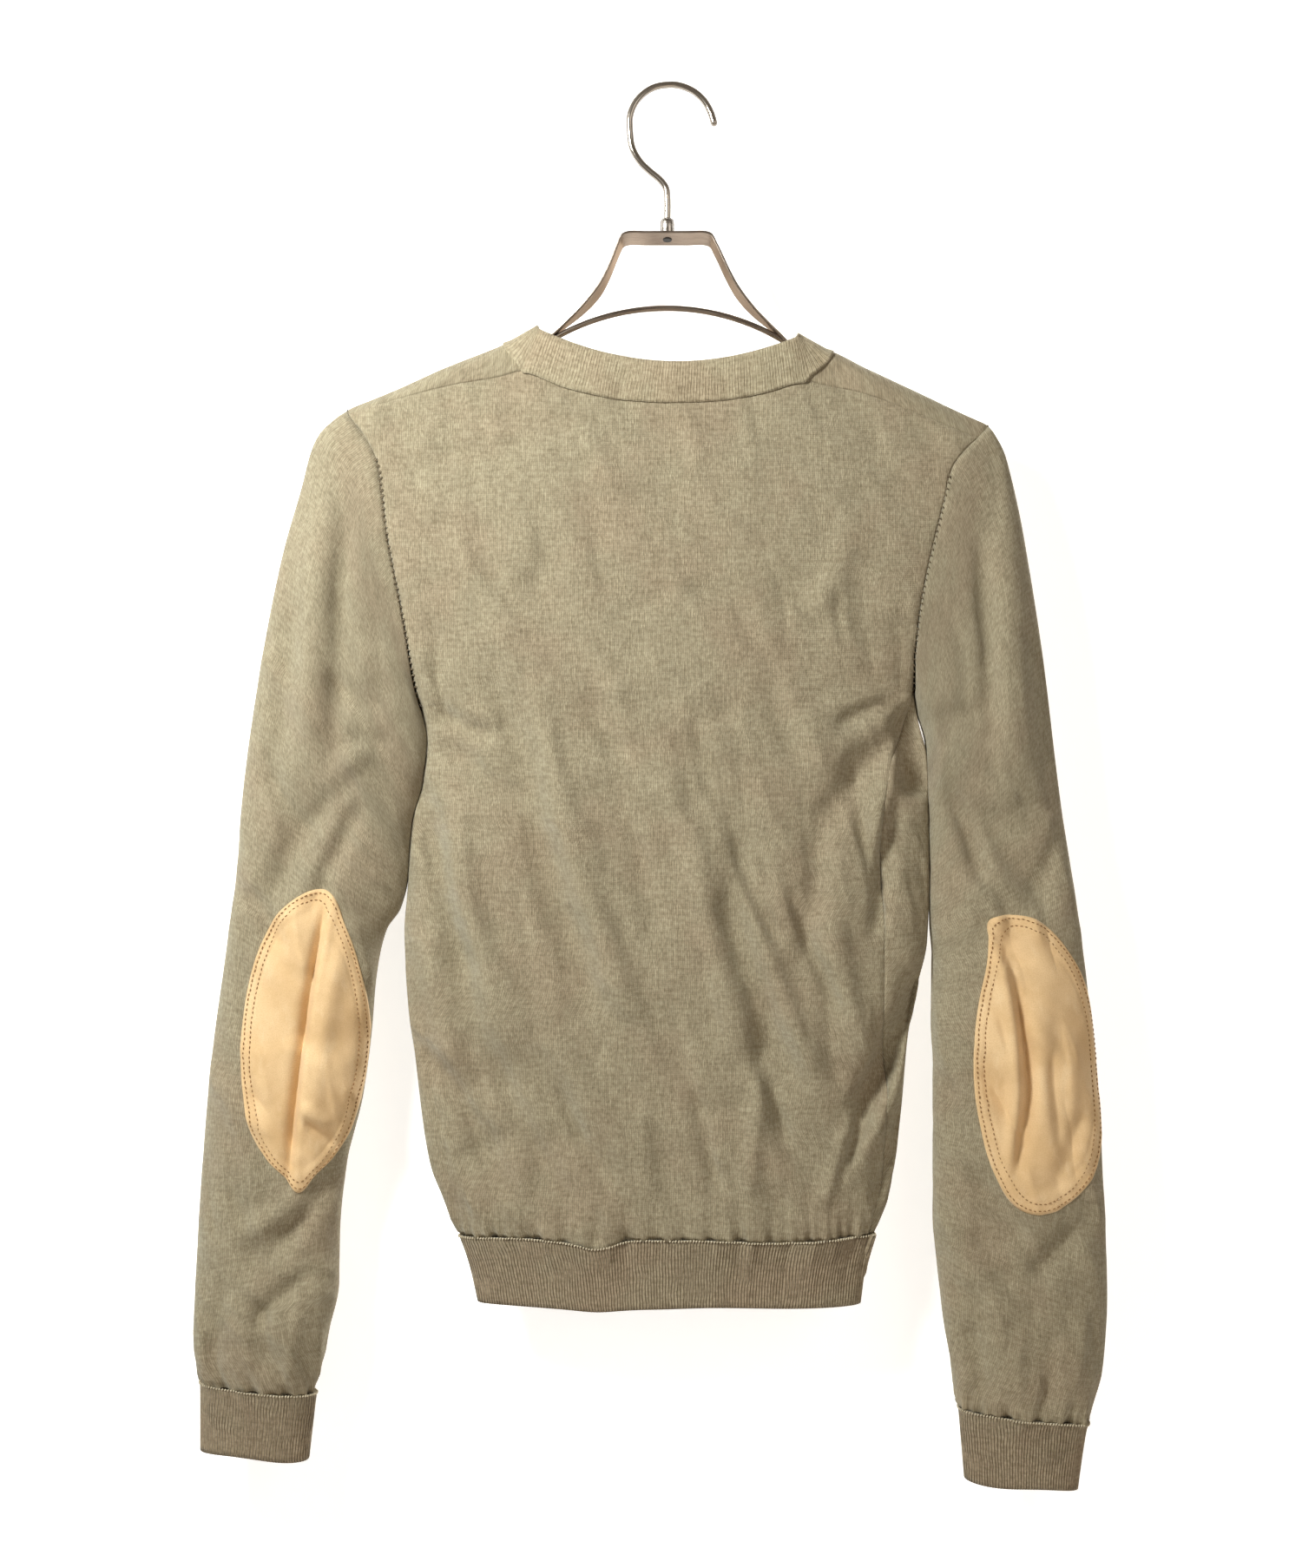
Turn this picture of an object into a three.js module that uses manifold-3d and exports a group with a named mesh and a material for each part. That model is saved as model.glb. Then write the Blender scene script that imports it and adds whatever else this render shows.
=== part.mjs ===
// A fine-knit wool pullover with suede elbow patches, hung on a bent-strap metal hanger.
// Millimetres, +Z up. The origin is the inside of the hook's crown, where the hook rests on a rail.
// X runs across the shoulders, the hanger lies in the plane Y = 0, and the pullover's back faces -Y.
import * as THREE from "three";
import { mergeGeometries, mergeVertices } from "three/addons/utils/BufferGeometryUtils.js";
import Module from "manifold-3d";

// ---------------------------------------------------------------- driving dimensions

const CLOTH = 1.6; // wall of the knitted cloth
const RIB = 2; // wall of the ribbed hem and cuffs
const BAND = 2.4; // wall of the doubled neckband
const SUEDE = 1.3; // wall of the elbow patches
const PATCH_LIFT = 0.8; // from the sleeve's surface to the patch's underside
const SEAM = 0.45; // how far short of a seam the outer face of each piece stops
const MITRE = 3.2; // and the inner face
const RIM_SHARE = 0.55; // the wall thins to this at a seam, as a pressed seam does
const FOLD_FADE = 8; // folds die out over this depth beside an outline

const MIDDLE = -2; // X of the centre line, down the hook's stem and the body
const ROUND = 2.4; // exponent of the flattened oval that every section is
const RIDGE_DROP = 10; // the cloth turns over the strap within this drop
const RIDGE_DEPTH = 12.5; // and is this far from the hanger's plane there
const HANG_DROP = 110; // below the shoulder line the body is at its full depth
const HEM = -687; // level of the seam between the body and its rib
const HEM_END = -727; // lower edge of the hem rib
const BODY_DEPTH = [[-727, 20], [-687, 22], [-600, 26], [-400, 27], [-150, 25]];

// Outlines are [where, value] stations, read as a smooth line that never overshoots.
const CREST = [
  [-194, -193], [-165, -181.5], [-137, -169], [-103, -155.5], [-86, -148.7],
  [90, -156.5], [119, -169], [146, -181.5], [178, -196.5], [191.4, -202.3],
];
const BACK_TOP = [
  [-191, -195.3], [-169, -189.3], [-132, -180.4], [-99, -174.2], [-87.4, -171.6], [-60, -181],
  [-30, -187], [-2, -188.8], [26, -187.5], [54, -183], [80, -176.3], [91, -178.4], [113, -183],
  [140, -192.4], [179, -207],
];

const SIDES = {
  left: {
    sign: -1,
    crown: [-194, -193], // armhole seam on the shoulder line
    seamEnd: -195.3, // where the shoulder seam runs into the armhole
    underarm: [-149, -372],
    neck: -87.4, // where the shoulder seam meets the neckband
    peak: [-79, -142.5], // highest point of the neckband
    armhole: [[-372, -149], [-359, -151.8], [-327, -157], [-300, -162], [-271, -167.5], [-227, -173.5], [-193, -194]],
    outline: [
      [-727, -115], [-705, -120], [-687, -126], [-670, -133.5], [-650, -142], [-624, -147.5], [-583, -152.5],
      [-545, -157], [-490, -157], [-440, -154.5], [-415, -148], [-393, -145.5], [-372, -149],
    ],
    sideSeam: null, // lies on the outline
    outer: [
      [-774, -281], [-748, -285], [-717, -284], [-634, -279], [-571, -273], [-520, -266], [-467, -259], [-426, -256],
      [-343, -244.5], [-280, -232], [-239, -220.5], [-218, -215], [-207.5, -210], [-193, -194],
    ],
    inner: [
      [-781.5, -212], [-748, -205], [-717, -198.5], [-686, -198], [-644, -193.5], [-603, -184], [-561, -179],
      [-520, -172.5], [-473, -161.5], [-440, -160], [-415, -155.5], [-390, -150.5], [-372, -149],
    ],
    wrist: [[-281, -774], [-212, -781.5]],
    wristEnd: [[-281, -814.5], [-216.5, -820]],
    patch: { turn: 117, halfTurn: 62, level: -568, halfHeight: 88, lean: -6 },
  },
  right: {
    sign: 1,
    crown: [191.4, -202.3],
    seamEnd: -209,
    underarm: [145.6, -362],
    neck: 80,
    peak: [76.4, -147.2],
    armhole: [[-362, 145.6], [-347, 145], [-318, 147.2], [-293, 151.5], [-259, 159.6], [-230, 167], [-202.3, 191.4]],
    outline: [
      [-727, 114], [-705, 117], [-687, 122], [-665, 130.5], [-644, 134.7], [-613, 138.3], [-571, 142], [-540, 147],
      [-510, 152], [-467, 152.5], [-400, 152], [-380, 148], [-362, 145.6],
    ],
    sideSeam: [
      [-687, 119], [-650, 127], [-613, 129], [-560, 127], [-520, 127], [-462, 125], [-412, 129], [-385, 139],
      [-362, 145.6],
    ],
    outer: [
      [-795, 250], [-769, 258.5], [-748, 260.5], [-727, 261.6], [-644, 258.5], [-613, 257], [-551, 251], [-509, 246],
      [-426, 233.5], [-343, 223.5], [-280, 213.7], [-259, 210], [-228, 203], [-218, 200], [-202.3, 191.4],
    ],
    inner: [
      [-790, 173], [-748, 165.4], [-706, 160.2], [-676, 157.5], [-582, 157.5], [-561, 156.5], [-520, 158], [-467, 158.5],
      [-395, 157], [-375, 150.5], [-362, 145.6],
    ],
    wrist: [[249, -798], [173, -790]],
    wristEnd: [[244, -838], [176.5, -832]],
    patch: { turn: 63, halfTurn: 62, level: -582, halfHeight: 87, lean: -6 },
  },
};

const ARMHOLE_STEPS = 8; // down each armhole, from the shoulder seam to the underarm
const SIDE_STEPS = 12; // down each side, from the underarm to the hem
const NECK_STEPS = 5; // from the centre of the back neck to each shoulder
const SHOULDER_STEPS = 6; // from the neck to the armhole
const FRONT_STEPS = 11; // across each half of the front
const OVER_STEPS = 3; // from the shoulder seam to the shoulder line
const SLEEVE_STEPS = 18; // along each sleeve

// Half the depth of a sleeve, by the share of the way down it.
const SLEEVE_DEPTH = [[0, 17], [0.2, 21], [0.5, 23], [0.85, 22], [1, 17]];
const CUFF_DEPTH = 15;
const SLEEVE_BIAS = 1.4; // the outer edge runs ahead of the inner one, so sections turn square to the arm
const ARMHOLE_REACH = 0.3; // the armhole's curve has died out by this share of the sleeve

// The largest folds: from and to are [X, Z], width is a soft half-width, and height is out of the cloth.
const FOLDS = [
  { face: -1, from: [-96, -352], to: [-36, -575], width: 11, height: -3.2 },
  { face: -1, from: [-150, -405], to: [-108, -560], width: 9, height: -4.5 },
  { face: -1, from: [-142, -385], to: [-80, -440], width: 9, height: -2.5 },
  { face: -1, from: [20, -450], to: [80, -612], width: 11, height: -3 },
  { face: -1, from: [140, -380], to: [84, -452], width: 9, height: -2.5 },
  { face: -1, from: [156, -515], to: [100, -625], width: 9, height: -5 },
  { face: 1, from: [-120, -380], to: [-62, -560], width: 12, height: -3 },
  { face: 1, from: [116, -376], to: [60, -580], width: 12, height: -3 },
  { face: 1, from: [-20, -420], to: [24, -600], width: 12, height: 2.5 },
  { face: -1, from: [-203, -226], to: [-212, -430], width: 10, height: 2.5 },
  { face: -1, from: [-186, -400], to: [-240, -500], width: 9, height: -3 },
  { face: -1, from: [196, -232], to: [204, -440], width: 10, height: 2.5 },
  { face: -1, from: [170, -420], to: [228, -500], width: 9, height: -3 },
  { face: 1, from: [-200, -230], to: [-222, -470], width: 11, height: 2.5 },
  { face: 1, from: [190, -236], to: [214, -470], width: 11, height: 2.5 },
];

const PATCH_STEPS = 28; // round a patch's edge

const PEAK_DEPTH = 11.5; // the band's free edge at each end of the back neck, from the hanger's plane
const PEAK_DROP = 4; // and below the band's highest point
const NAPE_DEPTH = 19; // and at the middle of the back neck
const NAPE_DROP = 22.5;
const V_MITRE = 56; // from the V's point at the seam up to its point on the free edge

const HOOK_WIRE = 2; // radius
const HOOK_ROUTE = [
  [25, -20.5], [24.6, -14], [20, -6], [11.5, 0], [0.5, 2], [-10.5, 0], [-19.5, -7], [-23.8, -16], [-24, -26],
  [-22.5, -36], [-18, -44], [-12, -50], [-6, -55], [-2.4, -60], [-1.6, -66], [-1.6, -78.8],
];
const STEM = -1.6; // X of the hook's stem
const STRAP_WALL = 1.6;
const STRAP_DEPTH = 16; // along Y, across the seat
const STRAP_TAPER = 0.32; // what is left of it at the shoulders
const STRAP_WIDE = 38; // it is at its full depth this far from the stem, and narrow at twice as far
const STRAP_SEAT = -90; // level of the strap's flat middle
const STRAP_STEPS = 90;
const STRAP_ROUTE = [
  [-172, -192], [-137, -177], [-103, -164.5], [-85, -157.5], [-70, -149], [-53, -131], [-40, -116], [-33.5, -104],
  [-30.3, -95], [-28.4, -91.4], [-25, -90], [-14, -90], [10, -90], [21, -90], [24.6, -91.4], [26.6, -95], [30, -104],
  [36, -116], [48, -130], [64, -146.5], [73, -156.6], [84, -163.5], [103, -172.5], [137, -186.5], [168, -201],
];
const FERRULE = [[0, 0], [4.2, 0], [4.2, 5.6], [3, 7], [3, 9], [2.4, 9.8], [0, 9.8]]; // radius and height
const METAL_GAP = 0.3; // between the hanger's pieces where they meet
const ROD_RADIUS = 1.7;
const ROD_BEND = 135;
const ROD_TOP = -132;
const ROD_HALF_SPAN = 62;
const RIVET_HOLE = 3; // radius

const TINY = 1e-4; // points closer than this are one point

// ---------------------------------------------------------------- reading the outlines

const mix = (a, b, share) => a + (b - a) * share;
const clamp = (value) => Math.min(1, Math.max(0, value));

function smooth(share) {
  const s = clamp(share);
  return s * s * (3 - 2 * s);
}

// A smooth line through the stations, level at each high or low one, so it never overshoots.
function through(stations) {
  const rise = stations.slice(1).map(([at, value], i) => (value - stations[i][1]) / (at - stations[i][0]));
  const slope = stations.map((_, i) => {
    if (i === 0) return rise[0];
    if (i === rise.length) return rise[i - 1];
    return rise[i - 1] * rise[i] > 0 ? (2 * rise[i - 1] * rise[i]) / (rise[i - 1] + rise[i]) : 0;
  });
  return (where) => {
    let i = 0;
    while (i < rise.length - 1 && where > stations[i + 1][0]) i++;
    const [start, low] = stations[i];
    const [end, high] = stations[i + 1];
    const span = end - start;
    const s = clamp((where - start) / span);
    const hermite = smooth(s);
    return (
      mix(low, high, hermite) +
      span * s * (1 - s) * (slope[i] * (1 - s) - slope[i + 1] * s)
    );
  };
}

const crest = through(CREST);
const backTop = through(BACK_TOP);
const bodyDepth = through(BODY_DEPTH);
const sleeveDepth = through(SLEEVE_DEPTH);
for (const side of Object.values(SIDES)) {
  for (const name of ["armhole", "outline", "outer", "inner"]) side[name] = through(side[name]);
  side.sideSeam = side.sideSeam ? through(side.sideSeam) : side.outline;
}

// ---------------------------------------------------------------- the form of the cloth

// Half of a flattened oval: how deep it is at a share of its width.
const oval = (share) => (1 - Math.min(1, Math.abs(share)) ** ROUND) ** (1 / ROUND);

// How far the cloth hangs from the hanger's plane, away from its sides, below the line that it hangs over.
function drape(x, z, top = crest(x)) {
  const drop = Math.max(0, top - z);
  const ridge = RIDGE_DEPTH * Math.sqrt(1 - (1 - clamp(drop / RIDGE_DROP)) ** 2);
  return ridge + (bodyDepth(z) - RIDGE_DEPTH) * smooth(drop / HANG_DROP);
}

function foldHeight(face, x, z) {
  let height = 0;
  for (const fold of FOLDS) {
    if (fold.face !== face) continue;
    const along = new THREE.Vector2(fold.to[0] - fold.from[0], fold.to[1] - fold.from[1]);
    const length = along.length();
    along.divideScalar(length);
    const dx = x - fold.from[0];
    const dz = z - fold.from[1];
    const share = (dx * along.x + dz * along.y) / length;
    const off = (dx * along.y - dz * along.x) / fold.width;
    height += fold.height * Math.exp(-off * off) * smooth(share * 4) * smooth((1 - share) * 4);
  }
  return height;
}

// A point of the cloth, with the folds pressed in wherever it is clear of the outline.
function clothPoint(x, y, z) {
  const face = Math.sign(y) || 1;
  return new THREE.Vector3(x, y + face * smooth(Math.abs(y) / FOLD_FADE) * foldHeight(face, x, z), z);
}

// A point of the armhole seam, by the share of its drop; face is -1 on the back and 1 on the front.
function armholePoint(side, face, share) {
  const z = mix(side.crown[1], side.underarm[1], share);
  return new THREE.Vector3(side.armhole(z), face * sleeveDepth(0) * oval(1 - 2 * share), z);
}

// The seam's stations: the shoulder line, the end of the shoulder seam, and on to the underarm.
function armholeShares(side) {
  const seam = (side.crown[1] - side.seamEnd) / (side.crown[1] - side.underarm[1]);
  const shares = [0];
  for (let i = 0; i <= ARMHOLE_STEPS; i++) shares.push(mix(seam, 1, (1 - Math.cos((Math.PI * i) / ARMHOLE_STEPS)) / 2));
  return shares;
}

function sideSeamPoint(side, share) {
  const z = mix(side.underarm[1], HEM, share);
  const x = side.sideSeam(z);
  const turn = (x - MIDDLE) / (side.outline(z) - MIDDLE);
  return new THREE.Vector3(x, -drape(x, z) * oval(turn), z);
}

// Closer together under the arm, where the seam turns.
const sideShares = Array.from({ length: SIDE_STEPS }, (_, i) => ((i + 1) / SIDE_STEPS) ** 1.4);

// The edge of a panel beside the sleeve and down the side, from the shoulder seam to the hem.
function panelEdge(side, face) {
  const armhole = armholeShares(side).slice(1).map((share) => armholePoint(side, face, share));
  return [...armhole, ...sideShares.map((share) => sideSeamPoint(side, share))];
}

// How far round its section an edge point lies, as an angle: a right angle is the outline.
function turnOf(edge) {
  const depth = Math.max(drape(edge.x, edge.z), TINY);
  return Math.acos(Math.min(0.98, Math.abs(edge.y) / depth) ** (ROUND / 2));
}

// One row across a panel, between its left and right edge points; near the shoulders it follows curve.
class Row {
  constructor(left, right, curve, fade) {
    this.ends = { left, right };
    this.curve = curve;
    this.fade = fade;
  }

  level(x) {
    const { left, right } = this.ends;
    const share = (x - left.x) / (right.x - left.x);
    const chord = mix(this.curve(left.x), this.curve(right.x), share);
    return mix(left.z, right.z, share) + (this.curve(x) - chord) * this.fade;
  }

  // A point by its angle round the section: past a right angle it is on the other side of the plane.
  at(name, face, angle) {
    const edge = this.ends[name];
    const half = (edge.x - MIDDLE) / Math.sin(turnOf(edge)) ** (2 / ROUND);
    const x = MIDDLE + half * Math.sin(angle) ** (2 / ROUND);
    const z = this.level(x);
    const near = Math.cos(angle);
    return clothPoint(x, face * Math.sign(near) * drape(x, z) * Math.abs(near) ** (2 / ROUND), z);
  }

  // The angle round the section at which the row is at X.
  angleAt(name, x) {
    const edge = this.ends[name];
    const share = ((x - MIDDLE) / (edge.x - MIDDLE)) * Math.sin(turnOf(edge)) ** (2 / ROUND);
    return Math.asin(clamp(share) ** (ROUND / 2));
  }
}

// ---------------------------------------------------------------- sheets and walls

// A sheet through rows of points.
function sheet(rows) {
  const width = rows[0].length;
  const index = [];
  for (let r = 0; r < rows.length - 1; r++) {
    for (let c = 0; c < width - 1; c++) {
      const a = r * width + c;
      index.push(a, a + 1, a + width, a + 1, a + width + 1, a + width);
    }
  }
  const geometry = new THREE.BufferGeometry().setFromPoints(rows.flat());
  geometry.setIndex(index);
  return geometry;
}

// The wall of cloth whose outer face is the sheet: its inner face lies one thickness towards the body.
function wall(sheets, thickness) {
  const outer = mergeVertices(mergeGeometries(sheets), TINY);
  const place = outer.getAttribute("position");
  const points = Array.from({ length: place.count }, (_, i) => new THREE.Vector3().fromBufferAttribute(place, i));
  const box = new THREE.Box3().setFromPoints(points);
  const core = box.getCenter(new THREE.Vector3()).setY(0);
  let faces = [];
  for (let i = 0; i < outer.index.count; i += 3) {
    const face = [0, 1, 2].map((k) => outer.index.getX(i + k));
    if (new Set(face).size === 3) faces.push(face);
  }
  const areaOf = ([a, b, c]) =>
    new THREE.Vector3().subVectors(points[b], points[a]).cross(new THREE.Vector3().subVectors(points[c], points[a]));
  const outward = faces.reduce((sum, face) => sum + areaOf(face).dot(points[face[0]].clone().sub(core)), 0);
  if (outward < 0) faces = faces.map(([a, b, c]) => [a, c, b]);

  // An edge that one face alone uses is on the sheet's rim.
  const edges = new Map();
  const middleward = points.map(() => new THREE.Vector3());
  const normals = points.map(() => new THREE.Vector3());
  for (const face of faces) {
    const area = areaOf(face);
    const middle = face.reduce((sum, k) => sum.add(points[k]), new THREE.Vector3()).divideScalar(3);
    face.forEach((from, k) => {
      const to = face[(k + 1) % 3];
      normals[from].add(area);
      middleward[from].add(middle.clone().sub(points[from]));
      if (!edges.delete(to + "," + from)) edges.set(from + "," + to, [from, to]);
    });
  }
  const rim = [...edges.values()];
  const onRim = new Set(rim.flat());
  const outside = [];
  const inside = [];
  points.forEach((point, i) => {
    const normal = normals[i].normalize();
    const back = middleward[i].projectOnPlane(normal).normalize();
    outside.push(point.clone().addScaledVector(back, onRim.has(i) ? SEAM : 0));
    const deep = onRim.has(i) ? thickness * RIM_SHARE : thickness;
    inside.push(point.clone().addScaledVector(back, onRim.has(i) ? MITRE : 0).addScaledVector(normal, -deep));
  });
  const count = points.length;
  const index = faces.flatMap(([a, b, c]) => [a, b, c, c + count, b + count, a + count]);
  for (const [from, to] of rim) index.push(to, from, from + count, to, from + count, to + count);
  const geometry = new THREE.BufferGeometry().setFromPoints([...outside, ...inside]);
  geometry.setIndex(index);
  return geometry;
}

// ---------------------------------------------------------------- panels

const edgeRows = ARMHOLE_STEPS + SIDE_STEPS + 1;
const backEdges = { left: panelEdge(SIDES.left, -1), right: panelEdge(SIDES.right, -1) };
const frontEdges = { left: panelEdge(SIDES.left, 1), right: panelEdge(SIDES.right, 1) };

function panelRows(edges, curve) {
  return Array.from({ length: edgeRows }, (_, i) => {
    const fade = (1 - i / (edgeRows - 1)) ** 2;
    return new Row(edges.left[i], edges.right[i], curve, fade);
  });
}

const backRows = panelRows(backEdges, backTop);
const frontRows = panelRows(frontEdges, crest);

// The back's columns on one side, as shares of the way to its edge: those up to the neck, then the rest.
function backShares(name) {
  const neck = (SIDES[name].neck - MIDDLE) / (backEdges[name][0].x - MIDDLE);
  const shares = [];
  for (let i = 0; i <= NECK_STEPS; i++) shares.push((neck * i) / NECK_STEPS);
  for (let i = 1; i <= SHOULDER_STEPS; i++) {
    shares.push(mix(neck, 1, Math.sin((Math.PI / 2) * (i / SHOULDER_STEPS))));
  }
  return shares;
}

function backHalf(row, name) {
  const reach = row.ends[name].x - MIDDLE;
  return backShares(name).map((share) => row.at(name, -1, row.angleAt(name, MIDDLE + share * reach)));
}

// A row of the back from left to right.
const backLine = (row) => [...backHalf(row, "left").reverse(), ...backHalf(row, "right").slice(1)];
const backGrid = backRows.map(backLine);

// The rows of the front that run over the shoulder, from the seam on the back to the shoulder line.
function overRows() {
  return Array.from({ length: OVER_STEPS + 1 }, (_, i) => {
    const share = Math.sin((Math.PI / 2) * (i / OVER_STEPS));
    const end = (name) => backEdges[name][0].clone().lerp(armholePoint(SIDES[name], 1, 0), share);
    return new Row(end("left"), end("right"), (x) => mix(backTop(x), crest(x), share), 1);
  });
}

const neckPoint = ARMHOLE_STEPS; // the V ends on the row at the underarm
const neckLevel = frontRows[neckPoint].level(MIDDLE);

// The neck edge of the front on a row: straight over the shoulder, then down one side of the V.
function neckEdge(row, name, face) {
  const { neck } = SIDES[name];
  const top = crest(neck);
  let x = neck;
  for (let i = 0; i < 12 && face > 0; i++) x = mix(neck, MIDDLE, clamp((top - row.level(x)) / (top - neckLevel)));
  return x;
}

function frontHalf(row, name, face) {
  const edge = row.ends[name];
  const inner = row.angleAt(name, neckEdge(row, name, face));
  const wraps = face * edge.y < 0;
  const outer = wraps ? Math.PI - turnOf(edge) : turnOf(edge);
  return Array.from({ length: FRONT_STEPS + 1 }, (_, i) => row.at(name, face, mix(inner, outer, i / FRONT_STEPS)));
}

function frontGrid(name) {
  return [...overRows().map((row) => frontHalf(row, name, -1)), ...frontRows.map((row) => frontHalf(row, name, 1))];
}

const frontGrids = { left: frontGrid("left"), right: frontGrid("right") };

function makeBack() {
  return wall([sheet(backGrid)], CLOTH);
}

function makeFront() {
  const mirrored = frontGrids.right.map((row) => [...row].reverse());
  return wall([sheet(frontGrids.left.map((row) => [...row])), sheet(mirrored)], CLOTH);
}

// A closed ring of the body at the hem seam: along the back, then back along the front.
function hemRing() {
  const last = frontGrids.left.length - 1;
  const front = [...frontGrids.right[last]].reverse().slice(1, -1);
  return [...backGrid[edgeRows - 1], ...front, ...frontGrids.left[last]];
}

function makeHemRib() {
  const top = hemRing();
  const rows = [0, 0.5, 1].map((share) => {
    const z = mix(HEM, HEM_END, share);
    return top.map((point) => {
      const { outline } = point.x < MIDDLE ? SIDES.left : SIDES.right;
      const narrowing = (outline(z) - MIDDLE) / (outline(HEM) - MIDDLE);
      const x = MIDDLE + (point.x - MIDDLE) * narrowing;
      return new THREE.Vector3(x, (point.y * bodyDepth(z)) / bodyDepth(HEM), z);
    });
  });
  return wall([sheet(rows)], RIB);
}

// ---------------------------------------------------------------- sleeves, cuffs and patches

// A sleeve's outer and inner edge at a share of its length.
function sleeveEnds(side, along) {
  const outer = mix(side.crown[1], side.wrist[0][1], 1 - (1 - along) ** SLEEVE_BIAS);
  const inner = mix(side.underarm[1], side.wrist[1][1], along);
  return [[side.outer(outer), outer], [side.inner(inner), inner]];
}

function sleevePoint(side, face, along, share) {
  const [outer, inner] = sleeveEnds(side, along);
  const armhole = armholePoint(side, face, share);
  const bow = armhole.x - mix(side.crown[0], side.underarm[0], share);
  const x = mix(outer[0], inner[0], share) + bow * (1 - smooth(along / ARMHOLE_REACH));
  return clothPoint(x, face * sleeveDepth(along) * oval(1 - 2 * share), mix(outer[1], inner[1], share));
}

// Round a sleeve from its outer edge, down the back, and up the front; the columns even out down the arm.
function ringShares(side, along) {
  const start = armholeShares(side);
  const steps = start.length - 1;
  const evening = smooth(along / ARMHOLE_REACH);
  const half = start.map((share, i) => mix(share, (1 - Math.cos((Math.PI * i) / steps)) / 2, evening));
  return [...half.map((share) => [-1, share]), ...half.slice(0, -1).reverse().map((share) => [1, share])];
}

function sleeveRing(side, along) {
  return ringShares(side, along).map(([face, share]) => sleevePoint(side, face, along, share));
}

function makeSleeve(side) {
  const rows = Array.from({ length: SLEEVE_STEPS + 1 }, (_, i) => sleeveRing(side, i / SLEEVE_STEPS));
  return wall([sheet(rows)], CLOTH);
}

function makeCuff(side) {
  const rows = [0, 0.5, 1].map((down) =>
    ringShares(side, 1).map(([face, share]) => {
      const [outer, inner] = [0, 1].map((k) => side.wrist[k].map((at, i) => mix(at, side.wristEnd[k][i], down)));
      const depth = mix(sleeveDepth(1), CUFF_DEPTH, down);
      const y = face * depth * oval(1 - 2 * share);
      return new THREE.Vector3(mix(outer[0], inner[0], share), y, mix(outer[1], inner[1], share));
    }),
  );
  return wall([sheet(rows)], RIB);
}

// A point of a sleeve by its angle round from the outer edge, over the back, and its level.
function sleeveAt(side, turn, z) {
  const share = (1 - Math.cos(turn)) / 2;
  let [low, high] = [0, 1];
  for (let i = 0; i < 40; i++) {
    const along = (low + high) / 2;
    const [outer, inner] = sleeveEnds(side, along);
    if (mix(outer[1], inner[1], share) > z) low = along;
    else high = along;
  }
  return sleevePoint(side, -Math.sign(Math.sin(turn)) || -1, low, share);
}

// A point over a sleeve, moved out along the cloth's own normal.
function overSleeve(side, turn, z, lift) {
  const round = new THREE.Vector3().subVectors(sleeveAt(side, turn + 0.02, z), sleeveAt(side, turn - 0.02, z));
  const down = new THREE.Vector3().subVectors(sleeveAt(side, turn, z - 0.5), sleeveAt(side, turn, z + 0.5));
  const normal = round.cross(down).normalize().multiplyScalar(side.sign);
  return sleeveAt(side, turn, z).addScaledVector(normal, lift);
}

function makePatch(side) {
  const { turn, halfTurn, level, halfHeight, lean } = side.patch;
  const rows = [0, 0.2, 0.4, 0.6, 0.8, 1].map((reach) =>
    Array.from({ length: PATCH_STEPS + 1 }, (_, i) => {
      const way = (2 * Math.PI * (i % PATCH_STEPS)) / PATCH_STEPS;
      const up = reach * Math.sin(way);
      const round = turn + lean * up + reach * halfTurn * Math.cos(way);
      return overSleeve(side, (round * Math.PI) / 180, level + up * halfHeight, PATCH_LIFT + SUEDE);
    }),
  );
  return wall([sheet(rows)], SUEDE);
}

// ---------------------------------------------------------------- neckband

// The band's free edge across the back of the neck, from the left peak to the right one.
function freeBack(share) {
  const [left, right] = [SIDES.left.peak, SIDES.right.peak];
  const bow = 1 - (2 * share - 1) ** 2;
  return new THREE.Vector3(
    mix(left[0], right[0], share),
    -mix(PEAK_DEPTH, NAPE_DEPTH, Math.sqrt(bow)),
    mix(left[1], right[1], share) - PEAK_DROP * (1 - bow) - NAPE_DROP * bow,
  );
}

// And down one side of the V, from the shoulder line; it meets the other side above the seam's point.
function freeFront(name, share) {
  const [peakX, peakZ] = SIDES[name].peak;
  const x = mix(peakX, MIDDLE, share);
  const z = mix(peakZ, neckLevel + V_MITRE, share);
  return new THREE.Vector3(x, drape(x, z, peakZ), z);
}

function neckEdges() {
  const neckColumns = backGrid[0].slice(SHOULDER_STEPS, SHOULDER_STEPS + 2 * NECK_STEPS + 1);
  const pairs = neckColumns.map((seam, i) => [seam, freeBack(i / (neckColumns.length - 1))]);
  const side = (name) =>
    frontGrids[name].slice(1, OVER_STEPS + 1 + neckPoint + 1).map((row, i) => {
      const seam = row[0];
      const top = SIDES[name].peak;
      if (i < OVER_STEPS) {
        const over = (i + 1) / OVER_STEPS;
        const turn = (Math.PI / 2) * over;
        return [seam, new THREE.Vector3(top[0], -PEAK_DEPTH * Math.cos(turn), top[1] - PEAK_DROP * (1 - Math.sin(turn)))];
      }
      const start = crest(SIDES[name].neck);
      return [seam, freeFront(name, clamp((start - seam.z) / (start - neckLevel)))];
    });
  const right = side("right");
  const left = side("left").reverse();
  return [...pairs, ...right, ...left.slice(1), pairs[0]];
}

function makeNeckband() {
  const edges = neckEdges();
  const rows = [0, 0.5, 1].map((share) => edges.map(([seam, free]) => seam.clone().lerp(free, share)));
  return wall([sheet(rows)], BAND);
}

// ---------------------------------------------------------------- hanger

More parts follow.
